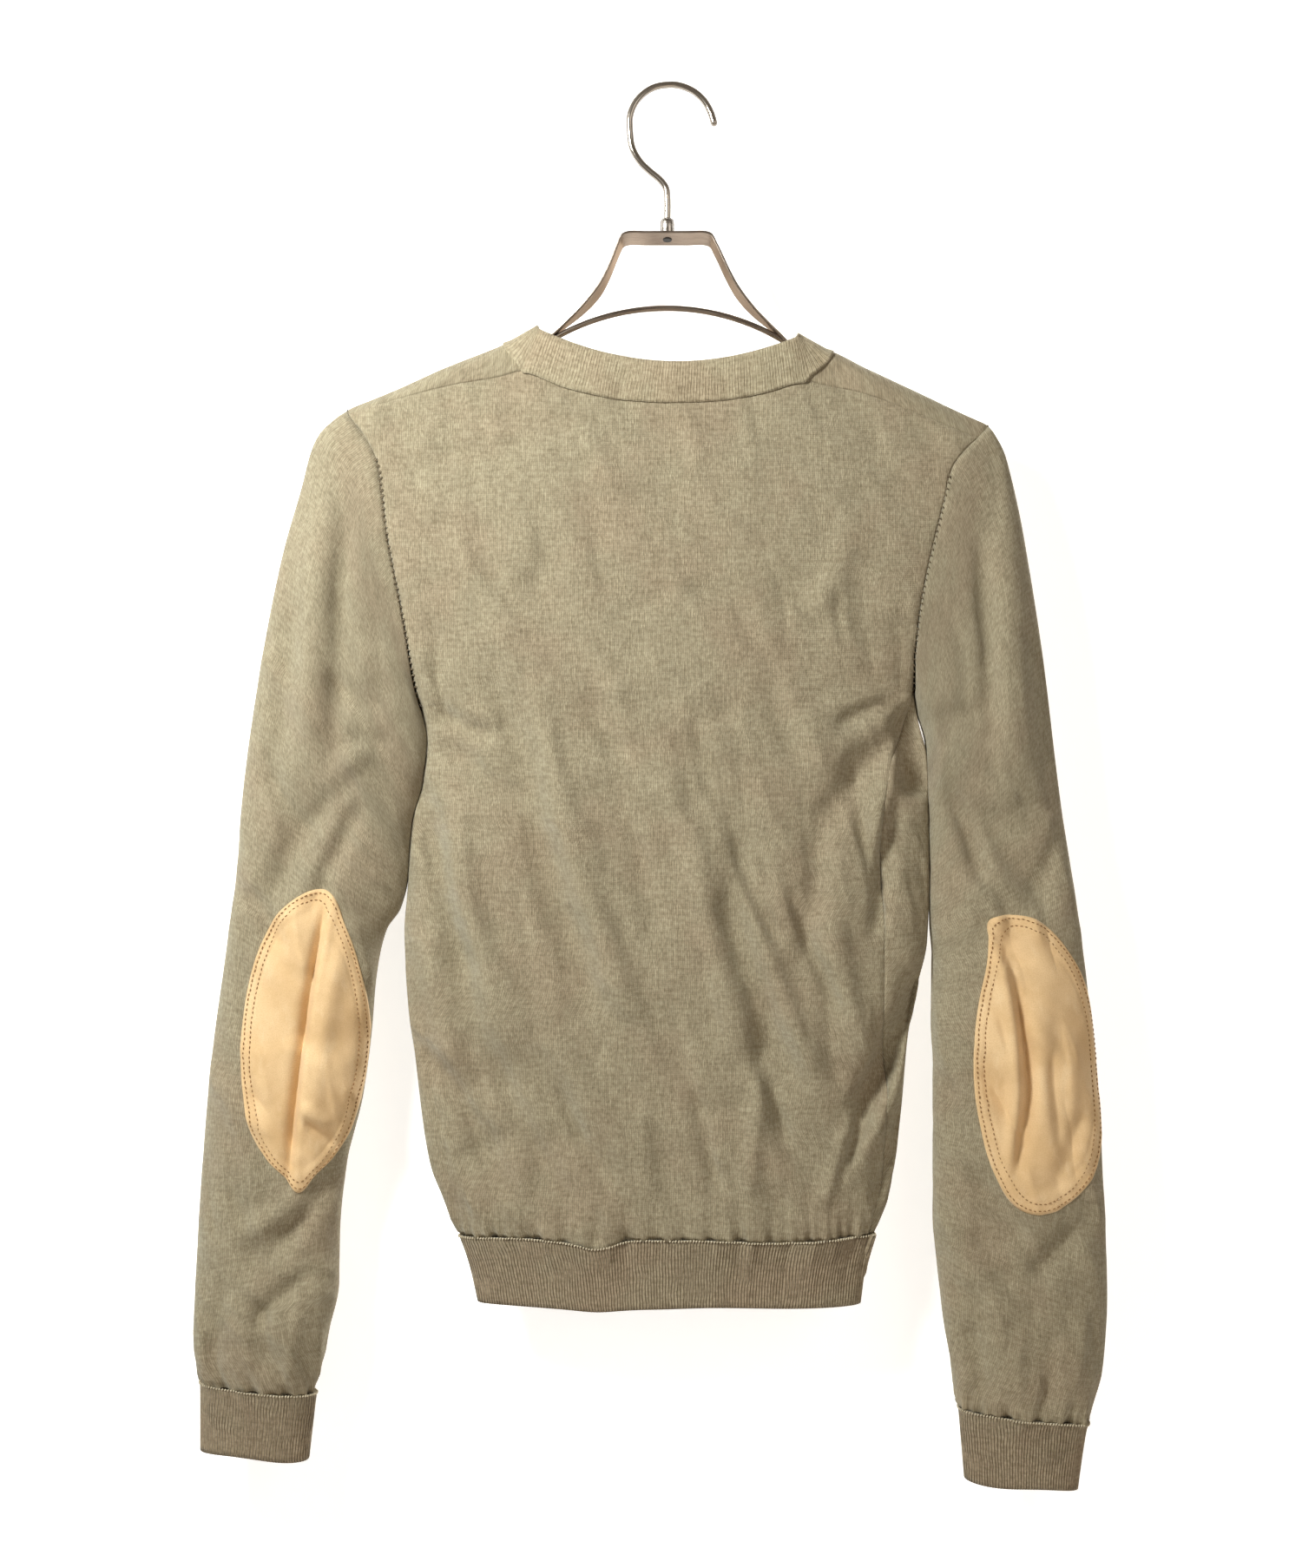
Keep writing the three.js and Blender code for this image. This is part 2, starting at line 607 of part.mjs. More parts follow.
// A round bar along a curve.
function bar(curve, radius, sides, steps) {
  const section = new THREE.Shape().absarc(0, 0, radius, 0, 2 * Math.PI);
  const outline = new THREE.Shape(section.getSpacedPoints(sides).slice(0, sides));
  return new THREE.ExtrudeGeometry(outline, { steps, extrudePath: curve, bevelEnabled: false });
}

function makeHook() {
  const points = HOOK_ROUTE.map(([x, z]) => new THREE.Vector3(x, 0, z));
  return bar(new THREE.CatmullRomCurve3(points, false, "centripetal"), HOOK_WIRE, 12, 56);
}

function makeFerrule() {
  const profile = FERRULE.map(([radius, up]) => new THREE.Vector2(radius, up));
  return new THREE.LatheGeometry(profile, 24).rotateX(Math.PI / 2);
}

function makeRod() {
  const points = Array.from({ length: 17 }, (_, i) => {
    const x = ROD_HALF_SPAN * (i / 8 - 1);
    return new THREE.Vector3(MIDDLE + x, 0, ROD_TOP - ROD_BEND + Math.sqrt(ROD_BEND ** 2 - x ** 2));
  });
  return bar(new THREE.CatmullRomCurve3(points), ROD_RADIUS, 8, 24);
}

const wasm = await Module();
wasm.setup();

function solidOf(geometry) {
  const plain = geometry.clone();
  plain.deleteAttribute("normal");
  plain.deleteAttribute("uv");
  const merged = mergeVertices(plain);
  const triVerts = new Uint32Array(merged.index.array);
  return new wasm.Manifold(new wasm.Mesh({ numProp: 3, vertProperties: merged.attributes.position.array, triVerts }));
}

function geometryOf(solid) {
  const mesh = solid.getMesh();
  const geometry = new THREE.BufferGeometry();
  geometry.setAttribute("position", new THREE.BufferAttribute(mesh.vertProperties, 3));
  geometry.setIndex(new THREE.BufferAttribute(mesh.triVerts, 1));
  return geometry;
}

// The flat strap, bent along its route, narrower towards the shoulders, with the rivet's hole in its seat.
function makeStrap() {
  const curve = new THREE.CatmullRomCurve3(STRAP_ROUTE.map(([x, z]) => new THREE.Vector3(x, 0, z)), false, "centripetal");
  const points = curve.getSpacedPoints(STRAP_STEPS);
  const offset = (share, lift) => {
    const tangent = curve.getTangentAt(share);
    return new THREE.Vector2(points[Math.round(share * STRAP_STEPS)].x - tangent.z * lift,
      points[Math.round(share * STRAP_STEPS)].z + tangent.x * lift);
  };
  const upper = points.map((_, i) => offset(i / STRAP_STEPS, STRAP_WALL / 2));
  const lower = points.map((_, i) => offset(i / STRAP_STEPS, -STRAP_WALL / 2));
  const outline = new THREE.Shape([...lower, ...upper.reverse()]);
  const strap = new THREE.ExtrudeGeometry(outline, { depth: STRAP_DEPTH, bevelEnabled: false });
  strap.translate(0, 0, -STRAP_DEPTH / 2).rotateX(Math.PI / 2);
  const place = strap.getAttribute("position");
  for (let i = 0; i < place.count; i++) {
    const taper = smooth((Math.abs(place.getX(i) - MIDDLE) - STRAP_WIDE) / STRAP_WIDE);
    place.setY(i, place.getY(i) * mix(1, STRAP_TAPER, taper));
  }
  const hole = new THREE.CylinderGeometry(RIVET_HOLE, RIVET_HOLE, 6, 20).rotateX(Math.PI / 2);
  hole.translate(STEM, 0, STRAP_SEAT);
  return geometryOf(solidOf(strap).subtract(solidOf(hole)));
}

// ---------------------------------------------------------------- the whole

const wool = new THREE.MeshStandardMaterial({ color: 0x98876a, roughness: 0.95, metalness: 0 });
const ribbing = new THREE.MeshStandardMaterial({ color: 0x85735a, roughness: 0.95, metalness: 0 });
const suede = new THREE.MeshStandardMaterial({ color: 0xd8b787, roughness: 0.9, metalness: 0 });
const metal = new THREE.MeshStandardMaterial({ color: 0xb5a28e, roughness: 0.35, metalness: 1 });

const sweater = new THREE.Group();

function addPiece(name, geometry, material) {
  const mesh = new THREE.Mesh(geometry, material);
  mesh.name = name;
  sweater.add(mesh);
  return mesh;
}

addPiece("back", makeBack(), wool);
addPiece("front", makeFront(), wool);
addPiece("neckband", makeNeckband(), ribbing);
addPiece("hem_rib", makeHemRib(), ribbing);
for (const [name, side] of Object.entries(SIDES)) {
  addPiece("sleeve_" + name, makeSleeve(side), wool);
  addPiece("cuff_" + name, makeCuff(side), ribbing);
  addPiece("patch_" + name, makePatch(side), suede);
}
addPiece("hanger_hook", makeHook(), metal);
addPiece("hanger_ferrule", makeFerrule(), metal).position.set(STEM, 0, STRAP_SEAT + STRAP_WALL / 2 + METAL_GAP);
addPiece("hanger_strap", makeStrap(), metal);
addPiece("hanger_rod", makeRod(), metal);

export default sweater;
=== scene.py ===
import math

import bmesh
import bpy
import numpy as np
from mathutils import Matrix, Vector


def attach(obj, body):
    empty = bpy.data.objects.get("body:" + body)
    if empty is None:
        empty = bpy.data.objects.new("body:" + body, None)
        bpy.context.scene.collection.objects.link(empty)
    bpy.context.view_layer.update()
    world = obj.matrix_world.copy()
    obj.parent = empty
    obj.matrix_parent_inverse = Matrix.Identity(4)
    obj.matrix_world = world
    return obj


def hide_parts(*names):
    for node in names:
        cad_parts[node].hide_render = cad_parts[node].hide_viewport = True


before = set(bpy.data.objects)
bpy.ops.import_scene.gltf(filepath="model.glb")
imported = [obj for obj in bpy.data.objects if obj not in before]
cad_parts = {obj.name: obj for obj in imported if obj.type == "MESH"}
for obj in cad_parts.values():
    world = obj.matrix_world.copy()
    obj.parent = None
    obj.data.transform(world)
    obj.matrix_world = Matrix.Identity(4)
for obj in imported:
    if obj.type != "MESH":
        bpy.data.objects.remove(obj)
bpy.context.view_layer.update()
MM = 0.001

# ---------------------------------------------------------------- the garment's form, in millimetres

MIDDLE = -2.0  # X of the centre line
ROUND = 2.4  # exponent of the flattened oval that every section is
RIDGE_DROP = 10.0  # the cloth turns over the hanger's strap within this drop
RIDGE_DEPTH = 12.5
HANG_DROP = 110.0  # below the shoulder line the body is at its full depth
HEM = -687.0
HEM_END = -727.0
FOLD_FADE = 8.0  # folds die out over this depth beside an outline
ARMHOLE_REACH = 0.3  # the armhole's curve has died out by this share of the sleeve
SLEEVE_BIAS = 1.4  # the outer edge runs ahead of the inner one
CUFF_DEPTH = 15.0
PEAK_DEPTH = 11.5  # the neckband's free edge beside its peaks, from the hanger's plane
PEAK_DROP = 4.0
NAPE_DEPTH = 19.0
NAPE_DROP = 22.5
V_MITRE = 56.0  # from the V's point at the seam up to its point on the free edge


def mix(a, b, share):
    return a + (b - a) * share


def points_of(*axes):
    """Points, or flat coordinates, from an array for each axis."""
    return np.stack(axes, axis=-1)


def smooth(share):
    s = np.clip(share, 0.0, 1.0)
    return s * s * (3.0 - 2.0 * s)


def through(*stations):
    """A smooth line through [where, value] stations, level at each high or low one."""
    at = np.array([s[0] for s in stations], dtype=float)
    value = np.array([s[1] for s in stations], dtype=float)
    rise = np.diff(value) / np.diff(at)
    slope = np.zeros(len(at))
    slope[0] = rise[0]
    slope[-1] = rise[-1]
    product = rise[:-1] * rise[1:]
    total = rise[:-1] + rise[1:]
    slope[1:-1] = np.where(product > 0, 2 * product / np.where(total == 0, 1, total), 0)

    def line(where):
        where = np.asarray(where, dtype=float)
        i = np.clip(np.searchsorted(at, where) - 1, 0, len(at) - 2)
        span = at[i + 1] - at[i]
        s = np.clip((where - at[i]) / span, 0.0, 1.0)
        bend = span * s * (1 - s) * (slope[i] * (1 - s) - slope[i + 1] * s)
        return mix(value[i], value[i + 1], smooth(s)) + bend

    return line


crest = through(
    (-194, -193), (-165, -181.5), (-137, -169), (-103, -155.5), (-86, -148.7),
    (90, -156.5), (119, -169), (146, -181.5), (178, -196.5), (191.4, -202.3))
back_top = through(
    (-191, -195.3), (-169, -189.3), (-132, -180.4), (-99, -174.2), (-87.4, -171.6), (-60, -181),
    (-30, -187), (-2, -188.8), (26, -187.5), (54, -183), (80, -176.3), (91, -178.4), (113, -183),
    (140, -192.4), (179, -207))
body_depth = through((-727, 20), (-687, 22), (-600, 26), (-400, 27), (-150, 25))
sleeve_depth = through((0, 17), (0.2, 21), (0.5, 23), (0.85, 22), (1, 17))


class Side:
    """One side of the garment: its outlines as X by level, and its corner points."""

    def __init__(self, **form):
        self.__dict__.update(form)


LEFT = Side(
    name="left", sign=-1, crown=(-194, -193), seam_end=-195.3, underarm=(-149, -372), neck=-87.4,
    neck_top=-98.0, peak=(-79, -142.5),
    armhole=through(
        (-372, -149), (-359, -151.8), (-327, -157), (-300, -162), (-271, -167.5), (-227, -173.5),
        (-193, -194)),
    outline=through(
        (-727, -115), (-705, -120), (-687, -126), (-670, -133.5), (-650, -142), (-624, -147.5),
        (-583, -152.5), (-545, -157.5), (-505, -159.5), (-485, -158), (-440, -154.5), (-415, -148),
        (-393, -145.5), (-372, -149)),
    outer=through(
        (-774, -281), (-748, -285), (-717, -284), (-634, -279), (-571, -273), (-520, -266), (-467, -259),
        (-426, -256), (-343, -244.5), (-280, -232), (-239, -220.5), (-218, -215), (-207.5, -210),
        (-193, -194)),
    inner=through(
        (-781.5, -212), (-748, -205), (-717, -198.5), (-686, -198), (-644, -193.5), (-603, -184),
        (-561, -178.5), (-540, -176.8), (-520, -174), (-504, -169.5), (-492, -161.5), (-473, -156.6),
        (-440, -154), (-415, -147.4), (-390, -145), (-372, -149)),
    wrist=((-281, -774), (-212, -781.5)),
    wrist_end=((-281, -814.5), (-216.5, -820)))
LEFT.side_seam = LEFT.outline

RIGHT = Side(
    name="right", sign=1, crown=(191.4, -202.3), seam_end=-209, underarm=(145.6, -362), neck=80,
    neck_top=96.0, peak=(76.4, -147.2),
    armhole=through(
        (-362, 145.6), (-347, 145), (-318, 147.2), (-293, 151.5), (-259, 159.6), (-230, 167),
        (-202.3, 191.4)),
    outline=through(
        (-727, 114), (-705, 117), (-687, 122), (-665, 130.5), (-644, 134.7), (-613, 138.3), (-571, 142),
        (-540, 147.5), (-510, 154), (-467, 155.5), (-400, 154), (-380, 149), (-362, 145.6)),
    side_seam=through(
        (-687, 119), (-650, 127), (-613, 129), (-560, 127), (-520, 127), (-462, 125), (-412, 129),
        (-385, 139), (-362, 145.6)),
    outer=through(
        (-795, 250), (-769, 258.5), (-748, 260.5), (-727, 261.6), (-644, 258.5), (-613, 257), (-551, 251),
        (-509, 246), (-426, 233.5), (-343, 223.5), (-280, 213.7), (-259, 210), (-228, 203), (-218, 200),
        (-202.3, 191.4)),
    inner=through(
        (-790, 173), (-748, 165.4), (-706, 160.2), (-676, 157.5), (-582, 157.5), (-561, 156.5),
        (-520, 157), (-500, 155.5), (-467, 155), (-395, 153.2), (-375, 148), (-362, 145.6)),
    wrist=((249, -798), (173, -790)),
    wrist_end=((244, -838), (176.5, -832)))

# ---------------------------------------------------------------- folds

BACK = -1
FRONT = 1

# Folds: X and Z of one end and of the other, half-width, height out of the cloth, bow to one side, and
# roll, which lifts one lip of the fold and sinks the other.
BACK_CREASES = [
    # Long slanting folds that fall from the shoulders towards the right of the hem.
    (-96, -352, -36, -575, 11, -3.2, 6, 0), (-84, -330, -22, -560, 8, 1.6, 8, 0),
    (-150, -405, -108, -560, 9, -4.5, 4, 1.0), (-135, -420, -92, -590, 8, 2.0, 3, 0),
    (-142, -385, -80, -440, 9, -2.5, 0, 0), (-146, -372, -98, -392, 6, -1.6, 0, 0),
    (-122, -600, -150, -500, 9, 2.2, 0, 0), (-150, -560, -96, -668, 8, -2.4, -4, 0),
    (-112, -560, -60, -672, 7, -1.8, 3, 0.8), (-92, -540, -18, -655, 8, 1.7, -5, 0),
    (-134, -640, -84, -622, 7, -0.8, 2, 0), (-70, -590, -34, -662, 5, -1.6, 2, 0.7),
    (-40, -470, 12, -600, 7, -1.6, 4, 0.6), (-22, -430, -4, -520, 6, -1.3, 2, 0),
    (-8, -395, 40, -500, 7, 1.4, 4, 0), (20, -450, 80, -612, 11, -3, 6, 0),
    (34, -440, 66, -520, 5, -1.9, 3, 1.0), (40, -455, 100, -620, 7, 2.1, 6, 0),
    (66, -470, 104, -560, 5, -1.8, 3, 1.2), (88, -420, 74, -540, 6, -1.3, -3, 0),
    (44, -548, 72, -640, 5, -1.8, 2, 0.9), (60, -560, 46, -668, 6, 1.5, 2, 0),
    (12, -590, 30, -668, 5, -1.3, 1, 0.6), (-10, -600, -2, -672, 5, -1.0, 0, 0),
    (156, -515, 100, -625, 9, -5, -4, 1.4), (150, -540, 108, -650, 7, 2.4, -4, 0),
    (128, -560, 92, -662, 6, -2.2, -3, 0.8), (112, -600, 84, -676, 5, 1.5, -2, 0),
    (140, -600, 118, -676, 5, -1.6, -2, 0), (140, -380, 84, -452, 9, -2.5, 4, 0),
    (138, -366, 92, -384, 6, -1.7, 2, 0.6), (140, -372, 112, -470, 6, 1.6, -2, 0),
    (132, -420, 118, -520, 6, -1.9, 1, 0.8), (104, -390, 118, -470, 5, -1.2, 0, 0),
    (138, -366, 150, -430, 8, -7, 2, 0), (-140, -430, -74, -600, 12, 3.2, 5, 0),
    (-78, -380, 4, -590, 14, 2.2, 8, 0), (10, -430, 58, -600, 9, 2.6, 5, 0),
    (92, -470, 122, -600, 8, 2.4, 4, 0),
    # Shallow dents under the yoke and below the neckband.
    (-84, -286, -58, -324, 9, -1.0, 3, 0.3), (-64, -262, -88, -318, 10, -0.8, 2, 0),
    (-108, -300, -70, -352, 8, 1.1, 3, 0), (-40, -318, 6, -296, 8, -0.7, 3, 0),
    (4, -296, 52, -322, 8, -0.7, -3, 0), (-20, -330, 30, -378, 8, 1.2, 3, 0),
    (62, -290, 96, -330, 6, -1.2, 3, 0), (110, -262, 76, -330, 8, 1.0, -3, 0),
    (-150, -260, -96, -270, 7, -0.9, 2, 0), (-152, -220, -70, -214, 6, -0.8, 3, 0),
    (-118, -198, -40, -206, 5, -0.6, 2, 0), (-60, -246, 52, -250, 6, -0.6, 2, 0),
    (50, -214, 140, -232, 6, -0.7, 3, 0), (96, -246, 150, -250, 6, -0.8, -2, 0),
    (-30, -205, 60, -212, 5, -0.6, -2, 0), (-48, -352, -26, -420, 6, -1.0, 2, 0),
    (54, -345, 80, -415, 7, -1.1, 2, 0), (10, -372, 24, -440, 6, -1.0, -2, 0),
    (-112, -340, -84, -402, 6, -1.1, 2, 0),
    # The left sleeve: folds from the armhole, the elbow's pleat and the pucker above the cuff.
    (-203, -226, -212, -430, 10, 2.5, 3, 0), (-192, -240, -199, -420, 6, -1.6, 2, 0.5),
    (-222, -300, -240, -440, 7, -1.3, -2, 0), (-186, -400, -240, -500, 9, -3, 5, 0),
    (-168, -384, -222, -448, 7, 1.9, 4, 0), (-160, -392, -200, -396, 5, -1.5, 2, 0),
    (-162, -372, -206, -352, 6, -1.3, -3, 0), (-168, -340, -206, -300, 6, -0.9, -3, 0),
    (-178, -420, -214, -500, 6, -1.8, 4, 0.8), (-250, -470, -224, -520, 6, -1.2, 2, 0),
    (-197, -466, -225, -672, 3.8, -1.6, 4, -1.8), (-189, -492, -213, -640, 6.5, 1.5, 4, 0),
    (-219, -604, -199, -621, 3.6, 1.2, 0, 0), (-217, -613, -196, -634, 3.6, -1.1, 0, 0),
    (-192, -640, -238, -700, 8, -2.2, 3, 0.8), (-200, -660, -262, -690, 7, 1.5, 3, 0),
    (-270, -640, -236, -720, 7, -1.5, -3, 0), (-206, -700, -250, -742, 6, -1.5, 3, 0),
    (-262, -700, -270, -770, 5, -1.1, 0, 0), (-218, -720, -226, -778, 5, 1.3, 0, 0),
    (-244, -716, -238, -776, 5, -1.5, 0, 0),
    # The right sleeve.
    (196, -232, 204, -440, 10, 2.5, -3, 0), (183, -250, 190, -420, 6, -1.6, -2, -0.5),
    (216, -300, 232, -460, 7, -1.3, 2, 0), (170, -420, 228, -500, 9, -3, -4, 0),
    (154, -388, 206, -440, 6, 1.7, -4, 0), (152, -376, 190, -372, 6, -1.4, 2, 0),
    (162, -410, 186, -480, 6, -2.4, -4, -1.4), (176, -470, 196, -512, 6, 1.8, -3, 0),
    (236, -430, 206, -500, 6, -1.1, -2, 0), (188, -496, 198, -660, 4.6, 0.5, -12, 1.9),
    (196, -520, 206, -646, 4, -1.3, -10, 0), (218, -530, 226, -640, 8, 1.1, 3, 0),
    (224, -566, 231, -640, 3.6, -0.9, 2, 0), (238, -560, 236, -636, 4, 0.6, 0, 0),
    (244, -600, 224, -660, 6, -1.1, -2, 0), (172, -640, 212, -700, 8, -1.9, -3, 0),
    (250, -670, 206, -716, 8, -1.7, 3, 0.6), (166, -690, 204, -742, 7, 1.4, -3, 0),
    (176, -730, 188, -784, 5, -1.5, 0, 0), (204, -736, 206, -790, 5, 1.3, 0, 0),
    (226, -730, 222, -792, 5, -1.4, 0, 0), (246, -716, 240, -790, 5, 0.9, 0, 0),
]
FRONT_CREASES = [
    # The body, which hangs the same way as the back.
    (-120, -380, -62, -560, 12, -3, 5, 0), (-104, -372, -44, -548, 8, 1.6, 5, 0),
    (116, -376, 60, -580, 12, -3, -5, 0), (128, -430, 84, -600, 8, 2.0, -4, 0.6),
    (-20, -420, 24, -600, 12, 2.5, 4, 0), (6, -410, 52, -560, 7, -1.7, 4, 0.8),
    (-140, -560, -92, -668, 8, -2.2, 3, 0.6), (-96, -580, -52, -668, 7, 1.7, 3, 0),
    (134, -560, 96, -664, 8, -2.4, -3, 0.8), (-50, -540, -18, -660, 6, -1.5, 3, 0.6),
    (40, -590, 60, -668, 6, -1.5, -2, 0), (140, -372, 84, -420, 7, -1.8, 3, 0),
    (-142, -380, -88, -424, 7, -1.8, -3, 0), (-132, -250, -92, -330, 8, -1.1, 3, 0),
    (128, -250, 88, -336, 8, -1.1, -3, 0), (-60, -350, -20, -420, 7, -1.2, 3, 0),
    # The left sleeve.
    (-200, -230, -222, -470, 11, 2.5, 3, 0), (-190, -400, -236, -500, 8, -2.2, 4, 0),
    (-210, -520, -240, -660, 8, -1.6, -4, 0.6), (-200, -650, -256, -720, 8, -2.0, 3, 0),
    (-250, -700, -246, -774, 6, 1.3, 0, 0),
    # The right sleeve.
    (190, -236, 214, -470, 11, 2.5, -3, 0), (172, -420, 226, -500, 8, -2.2, -4, 0),
    (190, -540, 216, -660, 8, -1.6, 4, 0), (176, -650, 232, -722, 8, -2.0, -3, 0),
    (212, -716, 214, -784, 6, 1.3, 0, 0),
]
CREASES = {BACK: BACK_CREASES, FRONT: FRONT_CREASES}
FOLD_GAIN = 2.9
FOLD_ENDS = 3.2  # how fast a fold dies out towards its ends
ROLL_GAIN = 1.5
RIPPLE_WAVES = 9
CRUMPLE_WAVES = 10
CRUMPLE_SIZE = 80
CRUMPLE_SPREAD = 26  # degrees
WARP = 6  # worn creases wander by this much
YOKE_END = -250  # worn creases are stronger below this level
# By face: the seed of its worn creases, their lean in degrees, and the seed of its ripples.
WEAR = {BACK: (61, 25, 3), FRONT: (83, -20, 5)}
FINE_RIPPLE = (0.8, 34)  # height and size
BROAD_RIPPLE = (1.5, 80)
MOST_LIFT = 12


def crease_height(face, x, z):
    total = np.zeros_like(x)
    for x0, z0, x1, z1, width, height, bow, roll in CREASES[face]:
        length = math.dist((x0, z0), (x1, z1))
        ax = (x1 - x0) / length
        az = (z1 - z0) / length
        dx = x - x0
        dz = z - z0
        share = (dx * ax + dz * az) / length
        bowed = bow * 4 * share * (1 - share)
        off = (dx * az - dz * ax - bowed) / width
        ends = smooth(share * FOLD_ENDS) * smooth((1 - share) * FOLD_ENDS)
        total += ends * np.exp(-off * off) * (height + roll * ROLL_GAIN * off)
    return total * FOLD_GAIN


def ripple(x, z, seed, size):
    """Small smooth unevenness, as hand-washed knit has: crossed waves of about this size."""
    rng = np.random.default_rng(seed)
    total = np.zeros_like(x)
    for _ in range(RIPPLE_WAVES):
        angle = rng.uniform(0, math.pi)
        length = size * rng.uniform(0.6, 1.7)
        phase = rng.uniform(0, 2 * math.pi)
        total += np.sin((x * math.cos(angle) + z * math.sin(angle)) * 2 * math.pi / length + phase)
    return total / RIPPLE_WAVES


def crumple(x, z, seed, lean):
    """Creases left from wear: thin sharp ridges and valleys that come and go along slanting lines."""
    rng = np.random.default_rng(seed)
    x, z = x + WARP * ripple(x, z, seed + 7, 70), z + WARP * ripple(x, z, seed + 8, 70)
    total = np.zeros_like(x)
    for _ in range(CRUMPLE_WAVES):
        angle = math.radians(rng.normal(lean, CRUMPLE_SPREAD))
        across = x * math.cos(angle) + z * math.sin(angle)
        along = z * math.cos(angle) - x * math.sin(angle)
        wave = np.sin(across * 2 * np.pi / (CRUMPLE_SIZE * rng.uniform(0.7, 1.5)) + rng.uniform(0, 6.3))
        swell = np.sin(along * 2 * np.pi / rng.uniform(80, 170) + across / 37 + rng.uniform(0, 6.3))
        total += (1 - np.abs(wave)) ** 2.2 * smooth(swell * 1.4) * rng.choice((-1, 1))
    return total * (1.0 + 0.9 * smooth((YOKE_END - z) / 150))


def wear(face, x, z):
    """How far every fold, worn crease and ripple lifts one face of the cloth."""
    crumple_seed, lean, ripple_seed = WEAR[face]
    lift = crease_height(face, x, z) + crumple(x, z, crumple_seed, lean)
    for seed, (height, size) in enumerate((FINE_RIPPLE, BROAD_RIPPLE), ripple_seed):
        lift = lift + height * ripple(x, z, seed, size)
    return lift


def cloth(x, y, z):
    """Points of the cloth with every fold pressed in wherever it is clear of the outline."""
    x, y, z = np.broadcast_arrays(x, y, z)
    lift = MOST_LIFT * np.tanh(np.where(y < 0, -wear(BACK, x, z), wear(FRONT, x, z)) / MOST_LIFT)
    return points_of(x, y + smooth(np.abs(y) / FOLD_FADE) * lift, z)


# ---------------------------------------------------------------- sections

def eased(steps):
    """Shares from 0 to 1 that lie closer together towards both ends."""
    return (1 - np.cos(np.linspace(0, np.pi, steps + 1))) / 2


def oval(share):
    return (1 - np.minimum(1, np.abs(share)) ** ROUND) ** (1 / ROUND)


def squared(wave, power):
    """A sine or cosine raised to a power, with its sign kept."""
    return np.sign(wave) * np.abs(wave) ** power


def drape(x, z, top=None):
    """How far the cloth hangs from the hanger's plane, away from its sides."""
    drop = np.maximum(0, (crest(x) if top is None else top) - z)
    ridge = RIDGE_DEPTH * np.sqrt(1 - (1 - np.clip(drop / RIDGE_DROP, 0, 1)) ** 2)
    return ridge + (body_depth(z) - RIDGE_DEPTH) * smooth(drop / HANG_DROP)


def armhole_point(side, face, share):
    z = mix(side.crown[1], side.underarm[1], share)
    y = face * sleeve_depth(0) * oval(1 - 2 * share)
    return points_of(side.armhole(z), y, z)


def side_seam_point(side, share):
    z = mix(side.underarm[1], HEM, share)
    x = side.side_seam(z)
    turn = (x - MIDDLE) / (side.outline(z) - MIDDLE)
    return points_of(x, -drape(x, z) * oval(turn), z)


ARMHOLE_ROWS = 84
SIDE_ROWS = 140


def panel_edge(side, face):
    """A panel's edge from the shoulder seam down the armhole and the side to the hem."""
    seam = (side.crown[1] - side.seam_end) / (side.crown[1] - side.underarm[1])
    upper = mix(seam, 1, eased(ARMHOLE_ROWS))
    lower = np.linspace(0, 1, SIDE_ROWS + 1)[1:] ** 1.15
    return np.concatenate([armhole_point(side, face, upper), side_seam_point(side, lower)])


def turn_of(edge):
    depth = np.maximum(drape(edge[..., 0], edge[..., 2]), 1e-6)
    return np.arccos(np.minimum(0.98, np.abs(edge[..., 1]) / depth) ** (ROUND / 2))


class Rows:
    """Rows across a panel between left and right edge points; near the shoulders they follow a curve."""

    def __init__(self, left, right, curve, fade):
        self.edge = {"left": left, "right": right}
        self.curve = curve
        self.fade = fade[:, None]

    def level(self, x):
        left = self.edge["left"]
        right = self.edge["right"]
        share = (x - left[:, :1]) / (right[:, :1] - left[:, :1])
        ends = mix(left[:, 2:], right[:, 2:], share)
        chord = mix(self.curve(left[:, :1]), self.curve(right[:, :1]), share)
        return ends + (self.curve(x) - chord) * self.fade

    def at(self, name, face, angle):
        edge = self.edge[name]
        half = (edge[:, 0] - MIDDLE) / np.sin(turn_of(edge)) ** (2 / ROUND)
        x = MIDDLE + half[:, None] * np.sin(angle) ** (2 / ROUND)
        z = self.level(x)
        return x, face * drape(x, z) * squared(np.cos(angle), 2 / ROUND), z

    def angle_at(self, name, x):
        edge = self.edge[name]
        share = (x - MIDDLE) / (edge[:, 0] - MIDDLE) * np.sin(turn_of(edge)) ** (2 / ROUND)
        return np.arcsin(np.clip(share, 0, 1) ** (ROUND / 2))


def make_rows(face, curve):
    fade = (1 - np.linspace(0, 1, ARMHOLE_ROWS + SIDE_ROWS + 1)) ** 2
    return Rows(panel_edge(LEFT, face), panel_edge(RIGHT, face), curve, fade)


# ---------------------------------------------------------------- sheets of cloth

def lengths_along(points, axis):
    """Distance along rows or columns of points from their start, in millimetres."""
    steps = np.linalg.norm(np.diff(points, axis=axis), axis=-1)
    total = np.cumsum(steps, axis=axis)
    start = np.zeros_like(np.take(total, [0], axis=axis))
    return np.concatenate([start, total], axis=axis)


def run_along(line):
    """Distance along a line of points from its start."""
    return np.concatenate([[0], np.cumsum(np.linalg.norm(np.diff(line, axis=0), axis=1))])


def read_off(line, run, at):
    """The points of a line where its run has the given values."""
    return np.stack([np.interp(at, run, line[:, k]) for k in range(3)], axis=-1)


